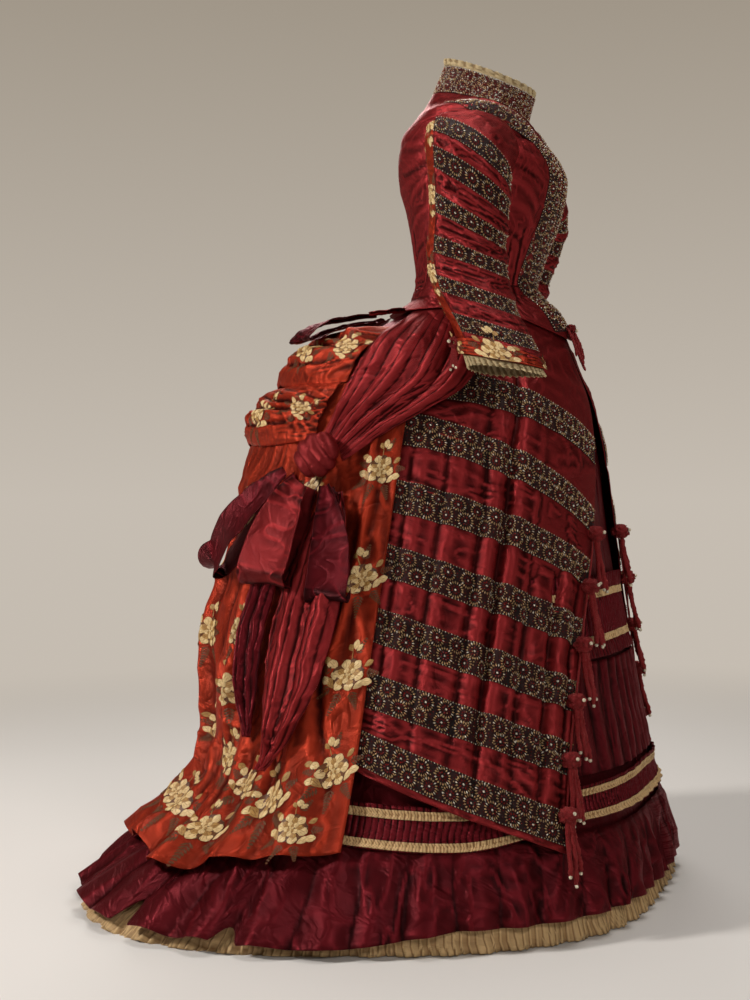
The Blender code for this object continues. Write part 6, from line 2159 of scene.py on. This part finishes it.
@dataclass(frozen=True)
class Sashes:
    """The satin swags round the hips, their knots, the bow's loops, and the hanging tails."""

    bodice: Bodice
    train: Train
    swag_folds: int = 4
    swag_relief: Pair = (0.0075, 0.003)
    swag_stand: float = 0.018
    swag_sink: float = 0.002
    tail_relief: Pair = (0.0055, 0.0022)
    knot_lift: float = 0.0228
    knot_place: Pair = (119.0, 0.716)
    knot_half_size: tuple[float, float, float] = (0.038, 0.038, 0.024)
    tail_seats: Pair = (0.0027, 0.0036)
    over_creases: float = 0.011
    swag_crumple: Crumple = Crumple(0.004, (0.16, 0.36), (0.026, 0.08), 83)
    tail_crumple: Crumple = Crumple(0.006, (0.09, 0.42), (0.035, 0.045), 87)

    def swag(self, side: Side, u: Array, v: Array, out: Array) -> Array:
        """A swag's right side, from its front edge back and from the waist to the knot."""
        back, front = read(SWAG, "back_angle", v), read(SWAG, "front_angle", v)
        high, low = read(SWAG, "back_height", v), read(SWAG, "front_height", v)
        wander = u + 0.03 * soft_noise(4 * u, 3 * v, 81)
        fold = 0.5 - 0.5 * np.cos(2 * np.pi * self.swag_folds * wander)
        sharp = np.abs(np.sin(np.pi * 2.5 * self.swag_folds * wander + 3 * v)) ** 0.7
        stand = self.bodice.lift + self.swag_stand * ease(0.0, 0.3, v) + 0.0012 * ease(0.8, 1.0, v)
        open_share = 0.15 + 0.85 * plateau(0.02, 0.4, 0.8, 1.0, v)
        broad, narrow = self.swag_relief
        relief = broad * fold + narrow * sharp + self.swag_crumple.rise(u, v)
        lift = stand + relief * open_share * ease(0.0, 0.05, v)
        angle = side.value * (front + u * (back - front))
        return FORM.cloth(angle, low + u * (high - low), lift + CLOTH - self.swag_sink + out)

    def tail(self, rows: tuple, side: Side, u: Array, v: Array, out: Array) -> Array:
        """A tail's right side, caught together at its end."""
        angle, half = read(rows, "angle", v), read(rows, "half_angle", v)
        height = read(rows, "height", v)
        place = angle + half * (2 * u - 1)
        wander = u + 0.06 * soft_noise(3 * u, 4 * v, 85)
        broad, narrow = self.tail_relief
        fold = broad * (1 - np.cos(4 * np.pi * wander)) * ease(0.0, 0.2, 1 - v) * ease(0.0, 0.1, v)
        sharp = narrow * np.abs(np.sin(7 * np.pi * wander)) * ease(0.0, 0.15, v)
        small = self.tail_crumple.rise(u, v)
        seat = self.tail_seats[0 if side is Side.RIGHT else 1]
        lift = self.train.form_lift(place, height) + 2 * CLOTH + seat + fold + sharp + small
        lift = lift + self.over_creases * ease(0.0, 0.25, v)
        return FORM.cloth(side.value * place, height, lift + out)

    def knot(self, side: Side, u: Array, v: Array, out: Array) -> Array:
        """A knot's outside: a soft ball wrapped in slanting folds."""
        angle, height = self.knot_place
        half_across, half_high, half_deep = self.knot_half_size
        sign = side.value
        root = FORM.cloth(sign * angle, height, self.knot_lift + half_deep)
        outward = unit(root - FORM.cloth(sign * angle, height, 0.0))
        across = unit(np.cross([0.0, 0.0, 1.0], outward))
        up = np.cross(outward, across)
        turn, polar = 2 * np.pi * u, np.pi * v
        x, y, z = np.cos(turn) * np.sin(polar), np.cos(polar), np.sin(turn) * np.sin(polar)
        slant = 4.2 * (x * 0.8 + y * 0.55) + 0.5 * np.sin(2.2 * y)
        uneven = 0.05 * soft_noise(6 * u, 4 * v, 89) * np.sin(polar)
        size = 0.86 + (0.16 * np.abs(np.sin(slant * 1.3)) ** 0.6 + uneven) + out
        offsets = across * (x * half_across * size)[..., None] + up * (y * half_high * size)[..., None]
        return root + offsets + outward * (z * half_deep * size)[..., None]

    def build(self) -> None:
        """Builds the swags, knots, loops, tips and tails."""
        for side in Side:
            label = side.label
            swag = f"swag_{label}_satin"
            cloth_piece(
                swag, CRIMSON_SATIN, Cut(90, 96), partial(self.swag, side),
                [f"swag_{label}"],
            )
            ball = ball_mesh((96, 64), partial(self.knot, side))
            nodes = [f"knot_{label}"]
            knot = joined_piece(nodes[0] + "_satin", [ball], [CRIMSON_SATIN], nodes)
            tail, loop = partial(self.tail, SASH_TAIL, side), Ribbon(WAIST_LOOP, 0.002, side, *LOOP_FOLDS)
            tip = Ribbon(WAIST_TIP, 0.003, side, (0.04, 0.06), 93)
            upper_puff = "puff_upper_brocade"
            for name, word, finish, cut, surface, held, rests in (
                ("sash_tail", "satin", CRIMSON_SATIN, Cut(50, 100), tail, Held.HUNG, knot),
                ("waist_loop", "taffeta", BURGUNDY_TAFFETA, Cut(36, 90), loop.surface, Held.FOLDED,
                 upper_puff),
                ("waist_tip", "satin", CRIMSON_SATIN, Cut(40, 50), tip.surface, Held.FOLDED, swag),
            ):
                node = f"{name}_{label}"
                cloth_piece(f"{node}_{word}", finish, cut, surface, [node])
        for name, finish, rows, crease, extent, seed in (
            ("bow_loop_front", CRIMSON_SATIN, BOW_LOOP_FRONT, 0.004, (0.1, 0.34), 95),
            ("bow_loop_side", BURGUNDY_TAFFETA, BOW_LOOP_SIDE, 0.003, (0.07, 0.36), 97),
            ("bow_loop_back", BURGUNDY_TAFFETA, BOW_LOOP_BACK, 0.003, (0.09, 0.34), 99),
        ):
            loop = Ribbon(rows, crease, Side.RIGHT, extent, seed, 1, 0.0022, 0.007, (0.12, 0.05))
            word = finish.slot.split("_")[1]
            cloth_piece(f"{name}_{word}", finish, Cut(60, 120), loop.surface, [name])
        back_tail = partial(self.tail, SASH_TAIL_BACK, Side.RIGHT)
        cloth_piece(
            "sash_tail_back_taffeta", BURGUNDY_TAFFETA, Cut(36, 90), back_tail,
            ["sash_tail_back"],
        )


def ball_mesh(cut: tuple[int, int], surface: Surface) -> Mesh:
    """A closed mesh from a grid whose first and last rows are drawn to a point.

    Args:
        cut: Columns round it and rows from end to end.
        surface: Gives its points.

    Returns:
        The mesh, with its map in metres.
    """
    mesh, grid, order = bent_mesh("ball", Cut(*cut, True), surface)
    # an even middle share of painted fold shade, neither ridge nor valley
    shade_folds(mesh, order, np.full(grid.shape[:2], 0.5))
    shape = bmesh.new()
    shape.from_mesh(mesh)
    bmesh.ops.remove_doubles(shape, verts=shape.verts[:], dist=1e-5)
    bmesh.ops.recalc_face_normals(shape, faces=shape.faces[:])
    if shape.calc_volume(signed=True) < 0:
        bmesh.ops.reverse_faces(shape, faces=shape.faces[:])
    shape.to_mesh(mesh)
    shape.free()
    return mesh


@dataclass(frozen=True)
class Chenille:
    """Chenille strands, tufts and cream beads, from which tassels are made."""

    sides: int = 8
    steps: int = 34
    radius: float = 0.0038
    fluff: float = 0.4
    bead_radius: float = 0.003

    def strand(self, path: Array, radius: float, seed: int) -> Mesh:
        """A fluffy strand along a path.

        Args:
            path: Points from its root to its end.
            radius: Its half thickness.
            seed: Which unevenness it has.

        Returns:
            The strand's closed mesh.
        """
        stations = np.linspace(0.0, 1.0, len(path))

        def surface(u: Array, v: Array, out: Array) -> Array:
            behind, middle, ahead = (
                np.stack([np.interp(v + step, stations, path[:, axis]) for axis in range(3)], axis=-1)
                for step in (-0.02, 0.0, 0.02)
            )
            heading = unit(ahead - behind)
            aside = unit(np.cross(heading, [0.31, 0.87, 0.38]))
            deep = np.cross(heading, aside)
            taper = np.sqrt(np.maximum(1 - (2 * v - 1) ** 14, 0.0))
            size = radius * taper * (1 + self.fluff * soft_noise(2.9 * self.sides * u, 31 * v, seed))
            across, back = np.cos(2 * np.pi * u) * size, np.sin(2 * np.pi * u) * size
            return middle + aside * across[..., None] + deep * back[..., None]

        return ball_mesh((self.sides, self.steps), surface)

    def tuft(self, middle: Array, half_size: float, seed: int) -> Mesh:
        """A round fluffy head."""
        def surface(u: Array, v: Array, out: Array) -> Array:
            turn, polar = 2 * np.pi * u, np.pi * v
            size = half_size * (0.72 + 0.42 * np.abs(soft_noise(15 * u, 11 * v, seed)) * np.sin(polar))
            ring = np.sin(polar) * size
            offset = [ring * np.cos(turn), ring * np.sin(turn), np.cos(polar) * size]
            return middle + np.stack(offset, axis=-1)

        return ball_mesh((36, 22), surface)

    def bead(self, middle: Array, radius: float) -> Mesh:
        """A round cream bead."""
        shape = bmesh.new()
        shape.loops.layers.uv.new("cloth")
        place = Matrix.Translation(middle) @ Matrix.Scale(radius, 4)
        bmesh.ops.create_uvsphere(shape, u_segments=10, v_segments=6, radius=1.0, matrix=place)
        for face in shape.faces:
            face.material_index = 1
        return as_mesh("bead", shape)


CHENILLE_WORK = Chenille()


@dataclass(frozen=True)
class Tassels:
    """The chenille tassels down the overskirt's fronts, at the basque's point and at the cuffs."""

    panel: Overskirt
    bodice: Bodice
    sleeves: tuple[Sleeve, ...]
    heads: tuple[float, ...] = (0.6, 0.515, 0.425, 0.34, 0.255, 0.175)
    head_size: float = 0.0165
    head_stand: float = 0.006
    strip_inset: float = 0.6
    strip_width: float = 2.6
    length: float = 0.088
    strands: int = 3
    basque_low: float = 0.936
    basque_lengths: tuple[float, ...] = (0.05, 0.058, 0.068, 0.072, 0.066, 0.06, 0.05)
    basque_half_angle: float = 7.5
    basque_rise: float = 0.008
    basque_radius: float = 0.0021
    basque_head: float = 0.0095
    basque_bead: float = 0.0032
    cuff_turn: float = 150.0
    cuff_along: float = 0.965
    rosette_tufts: int = 7
    rosette_radius: float = 0.006
    rosette_tuft: float = 0.0046
    cuff_strands: int = 6
    cuff_spacing: float = 0.0016
    cuff_length: float = 0.032
    cuff_radius: float = 0.0012
    cuff_bead: float = 0.0022

    def over_panel(self, side: Side, angle: Array, height: Array, out: Array) -> Array:
        """Points out from a panel's beads."""
        lift = self.panel.stand(height) + CLOTH + BEAD_RISE + NET_LIFT
        return FORM.cloth(side.value * angle, height, lift + out)

    def front(self, side: Side) -> list[Mesh]:
        """One side's heads, strands and beads."""
        rng = np.random.default_rng(101)
        meshes = []
        for number, head in enumerate(self.heads):
            edge = float(read(PANEL_FRONT, "angle", head))
            middle_angle = edge + self.strip_inset + self.strip_width / 2
            here = self.over_panel(side, middle_angle, head, self.head_stand)
            meshes.append(CHENILLE_WORK.tuft(here, self.head_size, 103 + number))
            for index in range(self.strands):
                spread = (index + 0.5) / self.strands - 0.5
                length = self.length * float(rng.uniform(0.8, 1.06))
                share = np.linspace(0.0, 1.0, 9)
                angle = middle_angle + spread * self.strip_width * (0.7 + 0.9 * share)
                sway = 0.0024 * np.sin(2 * np.pi * (share + rng.uniform()))
                reach = 0.0065 + 0.0015 * (index % 2) + sway * share
                path = self.over_panel(side, angle, head - 0.004 - length * share, reach)
                meshes.append(CHENILLE_WORK.strand(path, CHENILLE_WORK.radius, 110 + index))
                meshes.append(CHENILLE_WORK.bead(path[-1], CHENILLE_WORK.bead_radius))
            at = self.over_panel(side, middle_angle, head, self.head_stand + self.head_size)
            meshes.append(CHENILLE_WORK.bead(at, CHENILLE_WORK.bead_radius))
        share = np.linspace(0.0, 1.0, 60)
        height = self.heads[-1] + share * (self.heads[0] - self.heads[-1])
        angle = read(PANEL_FRONT, "angle", height) + self.strip_inset + self.strip_width / 2
        cord = self.over_panel(side, angle, height, np.full_like(height, 0.002))
        meshes.append(CHENILLE_WORK.strand(cord, 0.002, 131))
        return meshes

    def basque(self) -> list[Mesh]:
        """The strands that hang from the basque's point."""
        meshes = []
        bodice = self.bodice
        base = bodice.lift + bodice.front_extra + CLOTH + BEAD_RISE + SEAT
        for index, length in enumerate(self.basque_lengths):
            spread = 2 * index / (len(self.basque_lengths) - 1) - 1
            share = np.linspace(0.0, 1.0, 9)
            angle = self.basque_half_angle * spread * (0.75 + 0.35 * share)
            reach = base + 0.004 + 0.0025 * np.sin(np.pi * share + index)
            path = FORM.cloth(angle, self.basque_low + self.basque_rise - length * share, reach)
            meshes.append(CHENILLE_WORK.strand(path, self.basque_radius, 141 + index))
        top = FORM.cloth(0.0, self.basque_low + self.basque_rise, base + 0.005)
        meshes.append(CHENILLE_WORK.tuft(top, self.basque_head, 151))
        meshes.append(CHENILLE_WORK.bead(top + np.array([0.0, -0.01, -0.004]), self.basque_bead))
        return meshes

    def cuff(self, sleeve: Sleeve) -> list[Mesh]:
        """The rosette at the back of a cuff, its button and its short strands."""
        lift = sleeve.cuff_inset + CLOTH + SEAT + 0.003
        root = sleeve.point(self.cuff_along, self.cuff_turn, lift)
        meshes = []
        for index in range(self.rosette_tufts):
            turn = 2 * math.pi * index / self.rosette_tufts
            offset = np.array([0.3 * math.cos(turn), math.cos(turn), math.sin(turn)])
            middle = root + self.rosette_radius * offset
            meshes.append(CHENILLE_WORK.tuft(middle, self.rosette_tuft, 161 + index))
        outward = sleeve.point(self.cuff_along, self.cuff_turn, lift + 0.008)
        meshes.append(CHENILLE_WORK.bead(outward, CHENILLE_WORK.bead_radius))
        for index in range(self.cuff_strands):
            share = np.linspace(0.0, 1.0, 7)
            aside = (index - (self.cuff_strands - 1) / 2) * self.cuff_spacing
            length = self.cuff_length + 0.003 * (index % 3)
            down = -length * share - 0.004
            offset = np.stack([0.1 * aside * share, aside * (0.6 + 0.8 * share), down], axis=-1)
            meshes.append(CHENILLE_WORK.strand(root + offset, self.cuff_radius, 171 + index))
            if index % 2:
                meshes.append(CHENILLE_WORK.bead(root + offset[-1], self.cuff_bead))
        return meshes

    def build(self) -> None:
        """Builds every tassel."""
        made = {f"front_tassels_{side.label}": self.front(side) for side in Side}
        made["basque_tassels"] = self.basque()
        for sleeve in self.sleeves:
            made[f"cuff_tassel_{sleeve.side.label}"] = self.cuff(sleeve)
        for name, meshes in made.items():
            joined_piece(f"{name}_chenille", meshes, (CHENILLE, PEARL), [name])


class Lamp(NamedTuple):
    """A soft light: where it is, where it points, its size, power and colour."""

    name: str
    place: tuple[float, float, float]
    target: tuple[float, float, float]
    size: float
    power: float
    colour: Colour


@dataclass(frozen=True)
class Studio:
    """The pale floor, the soft lights and the camera."""

    look_turn: float = 18.0
    distance: float = 2.5
    eye_height: float = -0.672
    lens: float = 51.3
    sensor: float = 36.0
    shift: float = -0.095
    floor_half: float = 6.0
    floor_gap: float = 0.0006
    fade_near: float = 1.2
    fade_far: float = 3.4
    floor_dark: Colour = (0.74, 0.71, 0.68)
    floor_light: Colour = (0.78, 0.75, 0.72)
    horizon: Colour = (0.56, 0.505, 0.44)
    zenith: Colour = (0.345, 0.298, 0.24)
    sky_height: float = 0.34
    lighting: float = 0.3
    lamps: tuple[Lamp, ...] = (
        Lamp("key", (-2.0, 2.7, 1.3), (0.0, 0.1, -0.7), 0.6, 100.0, (1.0, 0.97, 0.93)),
        Lamp("fill", (-2.6, -2.2, 0.9), (0.0, 0.0, -0.7), 0.9, 30.0, (1.0, 0.98, 0.96)),
        Lamp("over", (0.2, -0.2, 2.3), (0.0, 0.0, -1.0), 1.4, 40.0, (1.0, 0.98, 0.95)),
        Lamp("far_side", (2.6, 1.2, 1.2), (0.0, 0.1, -0.7), 1.4, 24.0, (1.0, 0.98, 0.95)),
    )

    def build(self) -> None:
        """Builds the studio."""
        shape = bmesh.new()
        bmesh.ops.create_grid(shape, x_segments=8, y_segments=8, size=self.floor_half)
        bmesh.ops.translate(shape, vec=(0, 0, -SHOULDER_HEIGHT - self.floor_gap), verts=shape.verts[:])
        floor = bpy.data.objects.new("floor", as_mesh("floor", shape))
        floor.data.materials.append(self._floor_material())
        bpy.context.scene.collection.objects.link(floor)
        for lamp in self.lamps:
            self._light(lamp)
        self._world()
        self._camera()
        bpy.context.scene.view_settings.view_transform = "Standard"

    def _floor_material(self) -> Material:
        """The floor's pale paint, faintly mottled, which fades into the wall's tone far off."""
        material = bpy.data.materials.new("floor_paint")
        material.use_nodes = True
        tree = material.node_tree
        place = add_node(tree, "TexCoord", {}).outputs["Object"]
        paint = add_ramp(add_noise(place, 1.2), (0.0, self.floor_dark), (1.0, self.floor_light))
        shader = set_inputs(tree.nodes["Principled BSDF"], {"Roughness": 0.75, "Base Color": paint})
        wall = add_node(tree, "Emission", {"Color": self.horizon})
        flat = add_node(tree, "VectorMath", {0: place, 1: (1.0, 1.0, 0.0)}, operation="MULTIPLY")
        away = add_node(tree, "VectorMath", {0: flat.outputs["Vector"]}, operation="LENGTH")
        span = {"Value": away.outputs["Value"], "From Min": self.fade_near, "From Max": self.fade_far}
        fade = add_node(tree, "MapRange", span, interpolation_type="SMOOTHSTEP").outputs["Result"]
        self._blend(tree, fade, shader.outputs["BSDF"], wall.outputs["Emission"], "Material Output")
        return material

    @staticmethod
    def _blend(tree: NodeTree, share: NodeSocket, none: NodeSocket, full: NodeSocket, end: str) -> None:
        """Blends two shaders into the node at the end.

        Args:
            tree: The nodes.
            share: How much of the second shader shows.
            none: The first shader.
            full: The second shader.
            end: The name of the node that takes the blend.
        """
        mix = add_node(tree, "MixShader", {"Fac": share, 1: none, 2: full})
        set_inputs(tree.nodes[end], {"Surface": mix.outputs["Shader"]})

    @staticmethod
    def _light(lamp: Lamp) -> None:
        """Adds one area light."""
        data = bpy.data.lights.new(lamp.name, "AREA")
        data.shape = "DISK"
        data.size = lamp.size
        data.energy = lamp.power
        data.color = lamp.colour
        light = bpy.data.objects.new(lamp.name, data)
        light.location = lamp.place
        light.rotation_euler = (Vector(lamp.target) - light.location).to_track_quat("-Z", "Y").to_euler()
        bpy.context.scene.collection.objects.link(light)

    def _world(self) -> None:
        """Sets a soft grey world, seen brighter than it lights."""
        world = bpy.data.worlds.new("studio")
        world.use_nodes = True
        tree = world.node_tree
        place = add_node(tree, "TexCoord", {}).outputs["Generated"]
        height = add_node(tree, "SeparateXYZ", {"Vector": place}).outputs["Z"]
        tone = add_ramp(height, (0.0, self.horizon), (self.sky_height, self.zenith))
        seen = set_inputs(tree.nodes["Background"], {"Color": tone}).outputs["Background"]
        lit = add_node(tree, "Background", {"Color": tone, "Strength": self.lighting})
        camera = add_node(tree, "LightPath", {}).outputs["Is Camera Ray"]
        self._blend(tree, camera, lit.outputs["Background"], seen, "World Output")
        bpy.context.scene.world = world

    def _camera(self) -> None:
        """Sets the camera where the photo was taken."""
        data = bpy.data.cameras.new("photo_camera")
        data.sensor_fit = "VERTICAL"
        data.sensor_height = self.sensor
        data.lens = self.lens
        data.shift_x = self.shift
        camera = bpy.data.objects.new("photo_camera", data)
        turn = math.radians(self.look_turn)
        look = Vector((math.cos(turn), math.sin(turn), 0.0))
        camera.location = -look * self.distance + Vector((0, 0, self.eye_height))
        camera.rotation_euler = look.to_track_quat("-Z", "Y").to_euler()
        bpy.context.scene.collection.objects.link(camera)
        bpy.context.scene.camera = camera


def main() -> None:
    """Builds the dress from the waist up and down, its trimmings and the studio."""
    bodice = Bodice()
    bodice.build()
    Collar(bodice).build()
    sleeves = tuple(Sleeve(side, bodice) for side in Side)
    spray = RoseSpray()
    for sleeve in sleeves:
        sleeve.build()
        label = sleeve.side.label
        spray.scatter(f"cuff_{label}_flowers", sleeve.cuff, CUFF_SPRAYS)
        spray.scatter(f"under_sleeve_{label}_flowers", sleeve.under, UNDER_SLEEVE_SPRAYS)
    Underskirt().build()
    panels = tuple(Overskirt(side) for side in Side)
    for panel in panels:
        panel.build()
    train = Train(panels[0])
    train.build()
    spray.scatter("train_flowers", train.surface, TRAIN_SPRAYS)
    for spec in PUFFS:
        spray.scatter(f"{spec.name}_flowers", partial(train.puff, spec), PUFF_SPRAYS)
    Sashes(bodice, train).build()
    Tassels(panels[0], bodice, sleeves).build()
    Studio().build()


if __name__ == "__main__":
    logging.basicConfig(level=logging.INFO, format="%(name)s: %(message)s")
    main()
